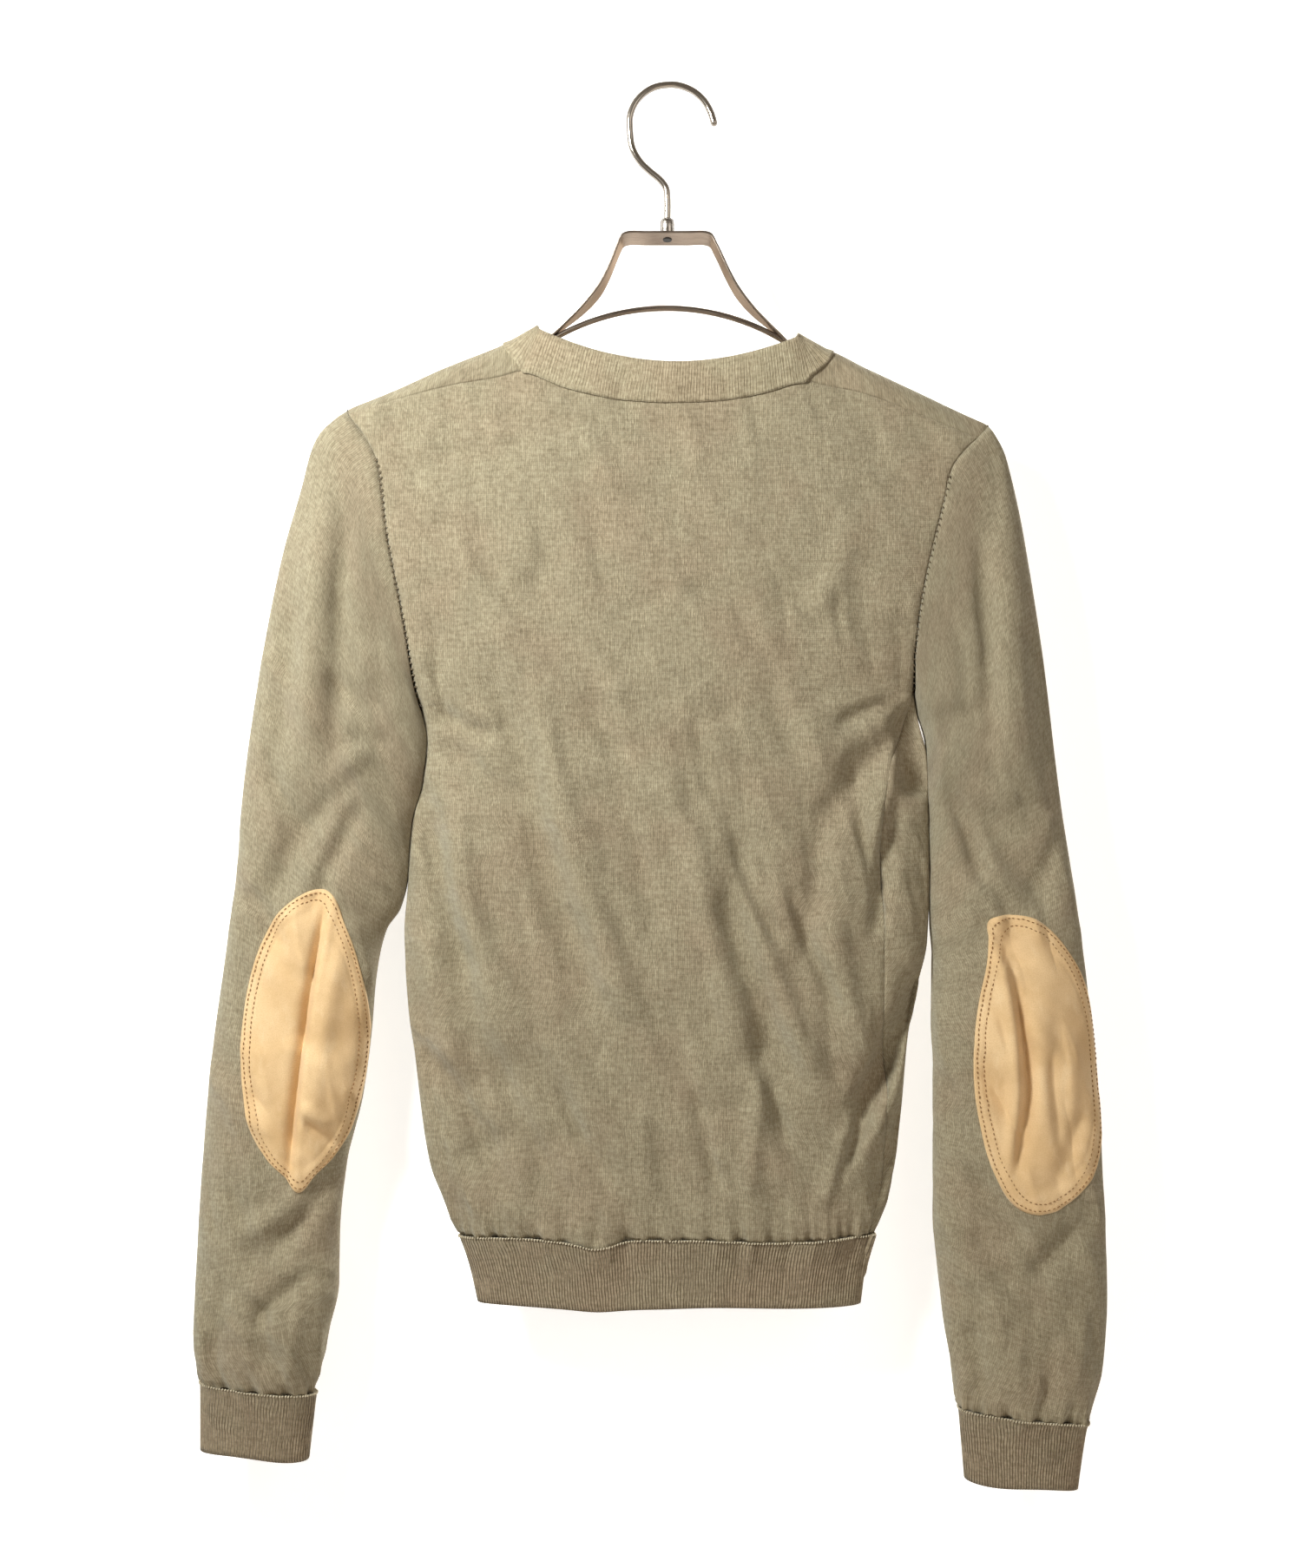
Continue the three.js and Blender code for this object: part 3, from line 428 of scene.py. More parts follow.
def normals_of(points):
    """Unit normals of a grid of points, outwards from the hanger's plane."""
    across = np.gradient(points, axis=1)
    down = np.gradient(points, axis=0)
    normal = np.cross(across, down)
    normal /= np.maximum(np.linalg.norm(normal, axis=-1, keepdims=True), 1e-9)
    core = points.reshape(-1, 3).mean(axis=0)
    core[1] = 0
    if np.sum(normal * (points - core)) < 0:
        normal = -normal
    return normal


# Depth and reach of the valley beside each kind of seam.
SIDE_DIP = (0.8, 2.2)
SHOULDER_DIP = (0.6, 2.0)
HEM_DIP = (0.9, 3.0)
NECK_DIP = (0.35, 2.0)
SLEEVE_HEAD_DIP = (0.9, 2.4)
SLEEVE_SEAM_DIP = (0.7, 2.0)
PUCKER_HEIGHT = 1.4
FINE_PUCKER = 8  # width of a pucker above the rib
BROAD_PUCKER = 19


def seam_dip(distance, kind):
    """The soft valley beside a sewn seam, as a height."""
    depth, reach = kind
    return -depth * np.exp(-(distance / reach) ** 2)


def hem_gathers(across, up):
    """Small uneven puckers where the cloth is drawn in to the rib."""
    fine = 1 - 2 * np.abs(np.sin(across * np.pi / FINE_PUCKER + 1.3 * np.sin(across / 15)))
    broad = np.sin(across * 2 * np.pi / BROAD_PUCKER + 1.6 * np.sin(across / 31) + 1)
    risen = np.maximum(up, 0)
    height = PUCKER_HEIGHT * fine * np.exp(-risen / 9) + PUCKER_HEIGHT * broad * np.exp(-risen / 24)
    return height * smooth((up + 3) / 4)


def sewn_in(points, dips, across, up):
    """A panel with its seams' valleys, and with gathers above its rib."""
    return points + normals_of(points) * (dips + hem_gathers(across, up))[..., None]


SEAM_MEET = 0.02 * MM  # points nearer than this are one
FOLD_MEET = 0.002 * MM


def grid_piece(name, points, uv, closed=False, capped=False, wrapped=False):
    """A bmesh grid laid over a grid of points, with the cloth's own flat coordinates as its UV map."""
    if closed:
        meet = (points[:, 0] + points[:, -1]) / 2
        points = np.concatenate([meet[:, None], points[:, 1:-1], meet[:, None]], axis=1)
    rows, columns = points.shape[0] - 1, points.shape[1] - 1
    bm = bmesh.new()
    bmesh.ops.create_grid(bm, x_segments=columns, y_segments=rows, size=1.0)
    bm.verts.ensure_lookup_table()
    flat = np.array([v.co[:2] for v in bm.verts])
    c = np.rint((flat[:, 0] + 1) / 2 * columns).astype(int)
    r = np.rint((1 - flat[:, 1]) / 2 * rows).astype(int)
    placed = points[r, c] * MM
    layer = bm.loops.layers.uv.new("cloth")
    for vert, place, at in zip(bm.verts, placed, uv[r, c] * MM):
        vert.co = place
        for loop in vert.link_loops:
            loop[layer].uv = at
    if closed:
        left = [v for v, k in zip(bm.verts, c) if k == 0]
        right = [v for v, k in zip(bm.verts, c) if k == columns]
        bmesh.ops.remove_doubles(bm, verts=left + right, dist=SEAM_MEET)
    if wrapped:
        bmesh.ops.remove_doubles(bm, verts=[v for v in bm.verts if v.is_boundary], dist=FOLD_MEET)
    if capped:
        bmesh.ops.holes_fill(bm, edges=[e for e in bm.edges if e.is_boundary])
    centre = Vector(points.reshape(-1, 3).mean(axis=0) * MM)
    centre.y = 0
    bm.normal_update()
    outward = sum(f.normal.dot(f.calc_center_median() - centre) * f.calc_area() for f in bm.faces)
    if outward < 0:
        bmesh.ops.reverse_faces(bm, faces=bm.faces)
    return finish_piece(name, bm)


def finish_piece(name, bm, smooth_shading=True):
    for face in bm.faces:
        face.smooth = smooth_shading
    mesh = bpy.data.meshes.new(name)
    bm.to_mesh(mesh)
    bm.free()
    piece = bpy.data.objects.new(name, mesh)
    bpy.context.scene.collection.objects.link(piece)
    return piece


def thickened(piece, wall):
    solid = piece.modifiers.new("wall", "SOLIDIFY")
    solid.thickness = wall * MM
    solid.offset = -1.0
    solid.use_even_offset = False
    return piece


def joined(pieces, name):
    """One piece from several, with shared points merged."""
    bm = bmesh.new()
    for piece in pieces:
        bm.from_mesh(piece.data)
        bpy.data.objects.remove(piece)
    bmesh.ops.remove_doubles(bm, verts=bm.verts, dist=SEAM_MEET)
    return finish_piece(name, bm)


# ---------------------------------------------------------------- body

CLOTH_WALL = 1.3
BACK_COLUMNS = 88  # in each half
FRONT_COLUMNS = 80

back_rows = make_rows(BACK, back_top)
front_rows = make_rows(FRONT, crest)


def half_grid(rows, side, face, inner, columns):
    """Half of a panel, from its inner edge out to the armhole or side seam."""
    edge = rows.edge[side.name]
    wraps = face * edge[:, 1] < 0
    outer = np.where(wraps, np.pi - turn_of(edge), turn_of(edge))
    share = np.linspace(0, 1, columns + 1)[None, :]
    angle = mix(inner[:, None], outer[:, None], share)
    return cloth(*rows.at(side.name, face, angle))


def back_points():
    start = np.zeros(len(back_rows.fade))
    left = half_grid(back_rows, LEFT, BACK, start, BACK_COLUMNS)
    right = half_grid(back_rows, RIGHT, BACK, start, BACK_COLUMNS)
    return np.concatenate([left[:, ::-1], right[:, 1:]], axis=1)


def hem_wave(x):
    """The hem seam wanders a little, and so does the lower edge below it."""
    dent = -2.8 * np.exp(-((x + 44) / 13) ** 2) + 1.2 * np.exp(-((x + 20) / 14) ** 2)
    return 1.1 * np.sin(x / 17.0 + 0.8) + dent


def settle_hem(points):
    up = points[..., 2] - HEM
    points = points.copy()
    points[..., 2] += hem_wave(points[..., 0]) * smooth(1 - up / 60)
    return points


BACK_POINTS = settle_hem(back_points())


def make_back():
    across = lengths_along(BACK_POINTS, 1)
    from_middle = across - across[:, BACK_COLUMNS:BACK_COLUMNS + 1]
    up = BACK_POINTS[..., 2] - HEM
    dips = (seam_dip(across, SIDE_DIP) + seam_dip(across[:, -1:] - across, SIDE_DIP)
            + seam_dip(lengths_along(BACK_POINTS, 0), SHOULDER_DIP) + seam_dip(up, HEM_DIP))
    points = sewn_in(BACK_POINTS, dips, from_middle, up)
    return thickened(grid_piece("back_panel", points, points_of(from_middle, up)), CLOTH_WALL)


NECK_LEVEL = float(front_rows.level(np.array([[MIDDLE]]))[ARMHOLE_ROWS, 0])
OVER_ROWS = 16
NECK_SEARCH = 12  # steps
OVER_SHARE = np.sin(np.linspace(0, np.pi / 2, OVER_ROWS + 1))[:-1, None]


def over_rows():
    """The front's rows over the shoulder, from the seam on the back up to the shoulder line."""
    ends = []
    for side in (LEFT, RIGHT):
        crown = armhole_point(side, FRONT, np.array(0.0))
        ends.append(mix(back_rows.edge[side.name][:1], crown[None, :], OVER_SHARE))
    return Rows(*ends, lambda x: mix(back_top(x), crest(x), OVER_SHARE), np.ones(OVER_ROWS))


OVER = over_rows()


def neck_inner(rows, side):
    """Where the front's neck edge is on each row, as an angle round its section."""
    top = crest(side.neck_top)
    if rows is OVER:
        x = mix(side.neck, side.neck_top, smooth(OVER_SHARE) ** 0.8)
    else:
        x = np.full((len(rows.fade), 1), float(side.neck_top))
        for _ in range(NECK_SEARCH):
            x = mix(side.neck_top, MIDDLE, np.clip((top - rows.level(x)) / (top - NECK_LEVEL), 0, 1))
    return rows.angle_at(side.name, x[:, 0])


def front_half(side):
    over = half_grid(OVER, side, BACK, neck_inner(OVER, side), FRONT_COLUMNS)
    main = half_grid(front_rows, side, FRONT, neck_inner(front_rows, side), FRONT_COLUMNS)
    return settle_hem(np.concatenate([over, crest_row(side)[None], main]))


def crest_row(side):
    """The row along the shoulder line itself."""
    reach = side.crown[0] - MIDDLE
    start = math.asin(((side.neck_top - MIDDLE) / reach) ** (ROUND / 2))
    x = MIDDLE + reach * np.sin(np.linspace(start, np.pi / 2, FRONT_COLUMNS + 1)) ** (2 / ROUND)
    return points_of(x, np.zeros_like(x), crest(x))


V_ROW = OVER_ROWS + 1 + ARMHOLE_ROWS  # the front's row at the V's point
FAR = 99.0  # beyond any seam's reach
FRONT_POINTS = {side.name: front_half(side) for side in (LEFT, RIGHT)}


def sewn_front_half(side):
    """One half of the front with its seams pressed in, and its flat coordinates."""
    points = FRONT_POINTS[side.name]
    across = lengths_along(points, 1)
    down = lengths_along(points, 0)
    up = points[..., 2] - HEM
    row = np.arange(len(points))[:, None]
    from_middle = side.sign * (across + np.abs(points[:, :1, 0] - MIDDLE))
    over = up[OVER_ROWS] + (down[OVER_ROWS:OVER_ROWS + 1] - down)
    from_neck = np.where(row <= V_ROW, across, FAR)
    dips = (seam_dip(across[:, -1:] - across, SIDE_DIP) + seam_dip(down, SHOULDER_DIP)
            + seam_dip(up, HEM_DIP) + seam_dip(from_neck, NECK_DIP))
    uv = points_of(from_middle, np.where(row < OVER_ROWS, over, up))
    return sewn_in(points, dips, from_middle, up), uv


def make_front():
    left, left_uv = sewn_front_half(LEFT)
    right, right_uv = sewn_front_half(RIGHT)
    meet = (left[V_ROW:, 0] + right[V_ROW:, 0]) / 2
    left[V_ROW:, 0] = meet
    right[V_ROW:, 0] = meet
    halves = [grid_piece("front_half", left, left_uv), grid_piece("front_half", right, right_uv)]
    return thickened(joined(halves, "front_panel"), CLOTH_WALL)


# ---------------------------------------------------------------- sleeves

SLEEVE_ROWS = 230
SLEEVE_COLUMNS = 56  # on each face


def sleeve_ends(side, along):
    outer = mix(side.crown[1], side.wrist[0][1], 1 - (1 - along) ** SLEEVE_BIAS)
    inner = mix(side.underarm[1], side.wrist[1][1], along)
    return side.outer(outer), outer, side.inner(inner), inner


def sleeve_surface(side, face, along, share):
    """Points of a sleeve by the share of its length and the share of the way across it."""
    outer_x, outer_z, inner_x, inner_z = sleeve_ends(side, along)
    armhole = armhole_point(side, face, share)
    bow = armhole[..., 0] - mix(side.crown[0], side.underarm[0], share)
    x = mix(outer_x, inner_x, share) + bow * (1 - smooth(along / ARMHOLE_REACH))
    y = face * sleeve_depth(along) * oval(1 - 2 * share)
    return cloth(x, y, mix(outer_z, inner_z, share))


def sleeve_grid(side):
    along = np.linspace(0, 1, SLEEVE_ROWS + 1)[:, None]
    share = eased(SLEEVE_COLUMNS)
    behind = sleeve_surface(side, BACK, along, share[None, :])
    before = sleeve_surface(side, FRONT, along, share[None, ::-1])
    # The seam runs under the arm, so the grid starts and ends there.
    return np.concatenate([behind[:, ::-1], before[:, ::-1][:, 1:]], axis=1)


def make_sleeve(side):
    points = sleeve_grid(side)
    across = lengths_along(points, 1)
    down = lengths_along(points, 0)
    outer = slice(SLEEVE_COLUMNS, SLEEVE_COLUMNS + 1)
    from_middle = across - across[:, outer]
    to_cuff = down[-1:] - down
    to_seam = np.minimum(across, across[:, -1:] - across)
    dips = (seam_dip(down, SLEEVE_HEAD_DIP) + seam_dip(to_cuff, HEM_DIP)
            + seam_dip(to_seam, SLEEVE_SEAM_DIP))
    points = sewn_in(points, dips, from_middle, to_cuff)
    uv = points_of(from_middle, np.broadcast_to(down[:, outer], across.shape))
    return thickened(grid_piece("sleeve_cloth_" + side.name, points, uv, closed=True), CLOTH_WALL)


# ---------------------------------------------------------------- ribs: hem, cuffs and neckband

RIB_PITCH = 1.75
RIB_HEIGHT = 0.27
COLUMNS_PER_RIB = 4
RIB_WALL = 1.6
BAND_LOOPS = 15  # down a hem or a cuff
HEM_WAIST = 1.6  # a rib draws in by this much between its edges
CUFF_WAIST = 1.5
LINING_ROWS = 6


def evened(loops):
    """Each loop of points resampled evenly along its length, with a whole number of ribs."""
    run = run_along(loops[len(loops) // 2])
    ribs = int(round(run[-1] / RIB_PITCH))
    places = np.linspace(0, run[-1], ribs * COLUMNS_PER_RIB + 1)
    return np.stack([read_off(loop, run, places) for loop in loops])


def ribbed(name, loops, proud=0.0, ridge=RIB_HEIGHT):
    """A ribbed band through loops of points: real ridges across its outer side, and a plain inner side."""
    points = evened(loops)
    outward = normals_of(points)
    column = np.arange(points.shape[1])[None, :]
    down = lengths_along(points, 0)
    edges = (proud + 0.2) * np.exp(-(down / 3.0) ** 2)
    ribs = ridge * np.cos(2 * np.pi * column / COLUMNS_PER_RIB) * smooth(down / 2.5)
    uv = points_of((column / COLUMNS_PER_RIB + 0.5) * RIB_PITCH + 0 * down, -down)
    outer = points + outward * (ribs + edges)[..., None]
    lining = np.linspace(len(points) - 1, 0, LINING_ROWS).round().astype(int)
    inner = (points - outward * RIB_WALL)[lining]
    shell = np.concatenate([outer, inner, outer[:1]])
    return grid_piece(name, shell, np.concatenate([uv, uv[lining], uv[:1]]), closed=True, wrapped=True)


RING_POINTS = 1441


def oval_ring(level, waist=0.0):
    """A closed ring of the body's section, starting at the left outline and going round the back."""
    left = LEFT.outline(level)
    right = RIGHT.outline(level)
    depth = body_depth(level) - waist
    turn = np.linspace(0, 2 * np.pi, RING_POINTS)
    across = -squared(np.cos(turn), 2 / ROUND)
    x = MIDDLE + np.where(across < 0, -across * (left - MIDDLE), across * (right - MIDDLE))
    return x, -depth * squared(np.sin(turn), 2 / ROUND), np.full_like(x, level)


def hem_edge_depth(x, y):
    """How far out the panels' lower edges are at each place round the hem."""
    behind = BACK_POINTS[-1]
    before = np.concatenate([FRONT_POINTS["left"][-1, ::-1], FRONT_POINTS["right"][-1]])
    return np.where(y < 0, np.interp(x, behind[:, 0], behind[:, 1]),
                    np.interp(x, before[:, 0], before[:, 1]))


def hem_loops():
    loops = []
    x, y, _ = oval_ring(HEM)
    settle = (hem_edge_depth(x, y) - y) * smooth(np.abs(y) / 4)
    for down in np.linspace(0, 1, BAND_LOOPS):
        x, y, level = oval_ring(mix(HEM, HEM_END, down), HEM_WAIST * math.sin(math.pi * down))
        wave = hem_wave(x) * (1 - 0.7 * down) + 0.6 * down * np.sin(x / 23.0)
        soft = settle * (1 - smooth(down))
        soft = soft + 0.8 * ripple(x, level, 21, 70) * smooth(np.abs(y) / FOLD_FADE) * down
        loops.append(points_of(x, y + soft, level + wave))
    return loops


def cuff_loops(side):
    loops = []
    top = sleeve_grid(side)[-1]
    across = eased(SLEEVE_COLUMNS)
    share = np.concatenate([across[::-1], across[1:]])
    face = np.concatenate([np.full(SLEEVE_COLUMNS + 1, BACK), np.full(SLEEVE_COLUMNS, FRONT)])
    for down in np.linspace(0, 1, BAND_LOOPS):
        outer, inner = mix(np.array(side.wrist), np.array(side.wrist_end), down)
        x = mix(outer[0], inner[0], share)
        z = mix(outer[1], inner[1], share) + 0.9 * down * np.sin(x / 11.0)
        depth = mix(float(sleeve_depth(1)), CUFF_DEPTH, down) - CUFF_WAIST * math.sin(math.pi * down)
        loop = points_of(x, face * depth * oval(1 - 2 * share), z)
        loops.append(mix(loop, top, (1 - down) ** 2))
    return loops


NECK_OVERLAP = 1.6  # the band lies over the panels' edges by this much
NECK_PROUD = 0.9
NECK_RIDGE = 0.11
NECK_SWELL = 1.4
NECK_LOOPS = 13
NAPE_POINTS = 240
NECK_STEP = 0.8
SEAM_EASE = 3  # points over which the corners of the band's seam and free edge are eased
FREE_EASE = 13


def neck_loops():
    """The neckband's seam and free edge, as two closed lines of matching points."""
    top = BACK_POINTS[0]
    seam_back = read_off(top, top[:, 0], np.linspace(LEFT.neck, RIGHT.neck, NAPE_POINTS))
    share = np.linspace(0, 1, NAPE_POINTS)
    bow = 1 - (2 * share - 1) ** 2
    free_back = points_of(
        mix(LEFT.peak[0], RIGHT.peak[0], share),
        -mix(PEAK_DEPTH, NAPE_DEPTH, np.sqrt(bow)),
        mix(LEFT.peak[1], RIGHT.peak[1], share) - PEAK_DROP * (1 - bow) - NAPE_DROP * bow)
    seams = [seam_back]
    frees = [free_back]
    for side in (RIGHT, LEFT):
        seam = FRONT_POINTS[side.name][1:V_ROW + 1, 0]
        over = np.arange(1, len(seam) + 1) / OVER_ROWS
        turn = np.pi / 2 * np.minimum(over, 1)
        start = crest(side.neck_top)
        down = np.clip((start - seam[:, 2]) / (start - NECK_LEVEL), 0, 1)
        fx = mix(side.peak[0], MIDDLE, down)
        fz = mix(side.peak[1], NECK_LEVEL + V_MITRE, down)
        on_top = over <= 1
        free = points_of(
            np.where(on_top, side.peak[0], fx),
            np.where(on_top, -PEAK_DEPTH * np.cos(turn), drape(fx, fz, side.peak[1])),
            np.where(on_top, side.peak[1] - PEAK_DROP * (1 - np.sin(turn)), fz))
        if side is LEFT:
            seam = seam[::-1][1:]
            free = free[::-1][1:]
        seams.append(seam)
        frees.append(free)
    seam = np.concatenate(seams + [seams[0][:1]])
    free = np.concatenate(frees + [frees[0][:1]])
    run = run_along((seam + free) / 2)
    even = np.arange(0, run[-1], NECK_STEP)
    return rounded(read_off(seam, run, even), SEAM_EASE), rounded(read_off(free, run, even), FREE_EASE)


def rounded(loop, spread):
    """A closed line of points with its corners eased, closed on its first point."""
    weights = np.hanning(2 * spread + 1)
    weights /= weights.sum()
    around = np.concatenate([loop[-spread:], loop, loop[:spread]])
    soft = np.stack([np.convolve(around[:, k], weights, mode="valid") for k in range(3)], axis=-1)
    return np.concatenate([soft, soft[:1]])


def make_neckband():
    seam, free = neck_loops()
    width = np.linalg.norm(free - seam, axis=1, keepdims=True)
    seam = seam + (seam - free) / width * NECK_OVERLAP
    loops = []
    for share in np.linspace(0, 1, NECK_LOOPS):
        line = mix(seam, free, share)
        swell = NECK_SWELL * math.sin(math.pi * share)
        line[:, 1] += np.sign(line[:, 1]) * swell * smooth(np.abs(line[:, 1]) / 6)
        loops.append(line)
    return ribbed("neck_band", loops, NECK_PROUD, NECK_RIDGE)


# ---------------------------------------------------------------- elbow patches

PATCHES = {  # the middle and the half-width by level
    "left": {
        "level": -568.3, "half_height": 89.4,
        "centre": through(
            (-658, -219), (-620, -218.3), (-566, -216), (-521, -214.8), (-499, -213.5), (-479, -207)),
        "half": through(
            (-658, 15), (-650.5, 18), (-638, 30.3), (-620, 35.5), (-566, 37.2), (-521, 35.5),
            (-479, 33.5))},
    "right": {
        "level": -582, "half_height": 88,
        "centre": through(
            (-670, 216.5), (-646, 221.3), (-621, 220.3), (-597, 217.7), (-552, 216), (-531, 214.6),
            (-509, 208.7), (-499, 203), (-494, 200)),
        "half": through(
            (-670, 46), (-646, 44.5), (-621, 41.5), (-590, 38.7), (-552, 37.5), (-520, 36.3), (-509, 38),
            (-499, 48), (-494, 66))},
}
PATCH_STEPS = 84
PATCH_PROUD = 1.1
STITCH_ROWS = (2.2, 6.4)  # in from the patch's edge
PATCH_HALF_WIDTH = 39.0  # round the sleeve, for the rows' inset
PATCH_HALF_HEIGHT = 88.0
PATCH_WALL = 1.1
HALVINGS = 26  # steps of the search for a level on a sleeve
PATCH_SEARCH = 4
STITCH_SINK = 0.12
INSIDE = (0.003, 0.997)  # shares of the way across a sleeve, clear of its two edges


def sleeve_at(side, turn, z):
    """Points of a sleeve by the angle round from its outer edge, over the back, and the level."""
    share = (1 - np.cos(turn)) / 2
    low = np.zeros_like(share)
    high = np.ones_like(share)
    for _ in range(HALVINGS):
        along = (low + high) / 2
        _, outer_z, _, inner_z = sleeve_ends(side, along)
        above = mix(outer_z, inner_z, share) > z
        low = np.where(above, along, low)
        high = np.where(above, high, along)
    return sleeve_surface(side, np.where(np.sin(turn) < 0, FRONT, BACK), low, share)


def over_sleeve(side, turn, z, lift):
    here = sleeve_at(side, turn, z)
    across = sleeve_at(side, turn + 0.02, z) - sleeve_at(side, turn - 0.02, z)
    down = sleeve_at(side, turn, z - 0.5) - sleeve_at(side, turn, z + 0.5)
    normal = np.cross(across, down) * side.sign
    normal /= np.linalg.norm(normal, axis=-1, keepdims=True)
    return here + normal * lift[..., None], normal


def patch_place(side, across, up):
    """Angle and level on the sleeve of a place in the patch, given as shares of its half-size."""
    form = PATCHES[side.name]
    level = form["level"] + up * form["half_height"]
    x = form["centre"](level) + across * form["half"](level)
    width = side.inner(level) - side.outer(level)
    share = (x - side.outer(level)) / width
    for _ in range(PATCH_SEARCH):
        turn = np.arccos(1 - 2 * np.clip(share, *INSIDE))
        share = share + (x - sleeve_at(side, turn, level)[..., 0]) / width
    return np.arccos(1 - 2 * np.clip(share, *INSIDE)), level


def make_patch(side):
    a, b = np.meshgrid(np.linspace(-1, 1, PATCH_STEPS + 1), np.linspace(1, -1, PATCH_STEPS + 1))
    across = a * np.sqrt(1 - b * b / 2)
    up = b * np.sqrt(1 - a * a / 2)
    reach = np.minimum(1, np.hypot(across, up))
    from_edge = (1 - reach) * PATCH_HALF_WIDTH
    lift = PATCH_PROUD * (1 - np.exp(-from_edge / 0.9) * 0.6)
    for row in STITCH_ROWS:
        lift = lift - 0.35 * np.exp(-((from_edge - row) / 0.9) ** 2)
    lift = lift + 0.25 * ripple(across * 40, up * PATCH_HALF_HEIGHT, 51, 30)
    points, _ = over_sleeve(side, *patch_place(side, across, up), lift)
    uv = points_of(across * PATCH_HALF_WIDTH, up * PATCH_HALF_HEIGHT)
    return thickened(grid_piece("elbow_patch_" + side.name, points, uv), PATCH_WALL)


# ---------------------------------------------------------------- stitches

def even_line(points, normals, pitch):
    """Places along a line of points at an even pitch, with the way along it and its normals."""
    run = run_along(points)
    at = np.arange(pitch / 2, run[-1], pitch)
    way = read_off(points, run, at + 0.4) - read_off(points, run, at - 0.4)
    return read_off(points, run, at), way, read_off(normals, run, at)


def sew(bm, points, normals, pitch, length, thick, slant, wander):
    """A row of stitches along a line, each a small rounded bead of thread, slanted across it."""
    rng = np.random.default_rng(len(bm.verts) + 5)
    for place, along, normal in zip(*even_line(points, normals, pitch)):
        up = Vector(normal).normalized()
        way = Vector(along).normalized()
        turned = math.radians(slant + rng.normal(0, 6))
        side = up.cross(way).normalized()
        lie = (way * math.cos(turned) + side * math.sin(turned)).normalized()
        cross = up.cross(lie).normalized()
        centre = (Vector(place) + side * rng.normal(0, wander) + way * rng.normal(0, wander)) * MM
        half = length / 2 * rng.uniform(0.88, 1.1) * MM
        radius = thick / 2 * MM
        axes = Matrix((lie * half, cross * radius, up * radius)).transposed().to_4x4()
        spot = Matrix.Translation(centre) @ axes
        bmesh.ops.create_uvsphere(bm, u_segments=6, v_segments=4, radius=1.0, matrix=spot)


STITCHES_START = 22  # rows below the shoulder seam


def make_armhole_stitches(side):
    """Hand-linked stitches down the armhole, on the back and on the front."""
    bm = bmesh.new()
    behind = slice(STITCHES_START, ARMHOLE_ROWS + 1)
    before = slice(OVER_ROWS + 1 + STITCHES_START, V_ROW + 1)
    for grid, rows, column in ((BACK_POINTS, behind, 0 if side is LEFT else -1),
                               (FRONT_POINTS[side.name], before, -1)):
        outward = normals_of(grid)[rows, column]
        line = grid[rows, column] + outward * 0.25
        sew(bm, line, outward, pitch=3.7, length=2.9, thick=0.8, slant=50 * side.sign, wander=0.2)
    return finish_piece("armhole_stitches_" + side.name, bm)


def make_patch_stitches(side):
    bm = bmesh.new()
    turn = np.linspace(0, 2 * np.pi, 361)
    for row in STITCH_ROWS:
        across = np.cos(turn) * (1 - row / PATCH_HALF_WIDTH)
        up = np.sin(turn) * (1 - row / PATCHES[side.name]["half_height"])
        proud = np.full_like(turn, PATCH_PROUD - STITCH_SINK)
        points, normals = over_sleeve(side, *patch_place(side, across, up), proud)
        sew(bm, points, normals, pitch=2.9, length=1.9, thick=0.75, slant=0.0, wander=0.1)
    return finish_piece("patch_stitches_" + side.name, bm)


def ring_normals(points):
    ahead = np.roll(points, -1, axis=0) - np.roll(points, 1, axis=0)
    out = points_of(ahead[:, 2] * 0 - ahead[:, 1], ahead[:, 0], ahead[:, 2] * 0)
    centre = points.mean(axis=0)
    if np.sum(out * (points - centre)) < 0:
        out = -out
    return out / np.maximum(np.linalg.norm(out, axis=1, keepdims=True), 1e-6)


def make_linking(name, points):
    """The pale line of linking stitches where a rib is joined on."""
    bm = bmesh.new()
    normals = ring_normals(points)
    line = points + normals * 0.55
    sew(bm, line, normals, pitch=RIB_PITCH, length=1.8, thick=1.1, slant=62, wander=0.05)
    return finish_piece(name, bm)


# ---------------------------------------------------------------- hanger

HOOK_WIRE = 2.0
HOOK_ROUTE = [
    (26.4, -21), (24.4, -14.6), (20.8, -8.2), (15, -2.6), (8, 0.8), (0.5, 2), (-10.5, 0), (-19.5, -7),
    (-23.8, -16), (-24, -26), (-22.5, -36), (-18, -44), (-12, -50), (-6, -55), (-2.4, -60), (-1.6, -66),
    (-1.6, -78.8)]
STEM = -1.6
STRAP_WALL = 1.7
STRAP_DEPTH = 16.0
STRAP_TAPER = 0.32
STRAP_WIDE = 38.0
STRAP_SEAT = -90.0
STRAP_ROUTE = [
    (-172, -192), (-137, -177), (-103, -164.5), (-85, -157), (-72, -149.5), (-61.7, -141),
    (-51.2, -131.5), (-42.2, -121), (-36.6, -110.5), (-32.8, -101), (-30.3, -95), (-28.4, -91.4),
    (-25, -90), (-14, -90), (10, -90), (21, -90), (24.6, -91.4), (26.6, -95), (29.6, -101), (34.2, -111),
    (40.3, -122), (49.2, -133), (58.5, -141.8), (66, -148.5), (74, -156.4), (84, -163.5), (103, -172.5),
    (137, -186.5), (168, -201)]
STRAP_TILT = 0.22  # the seat leans a little, so its under side shows from below
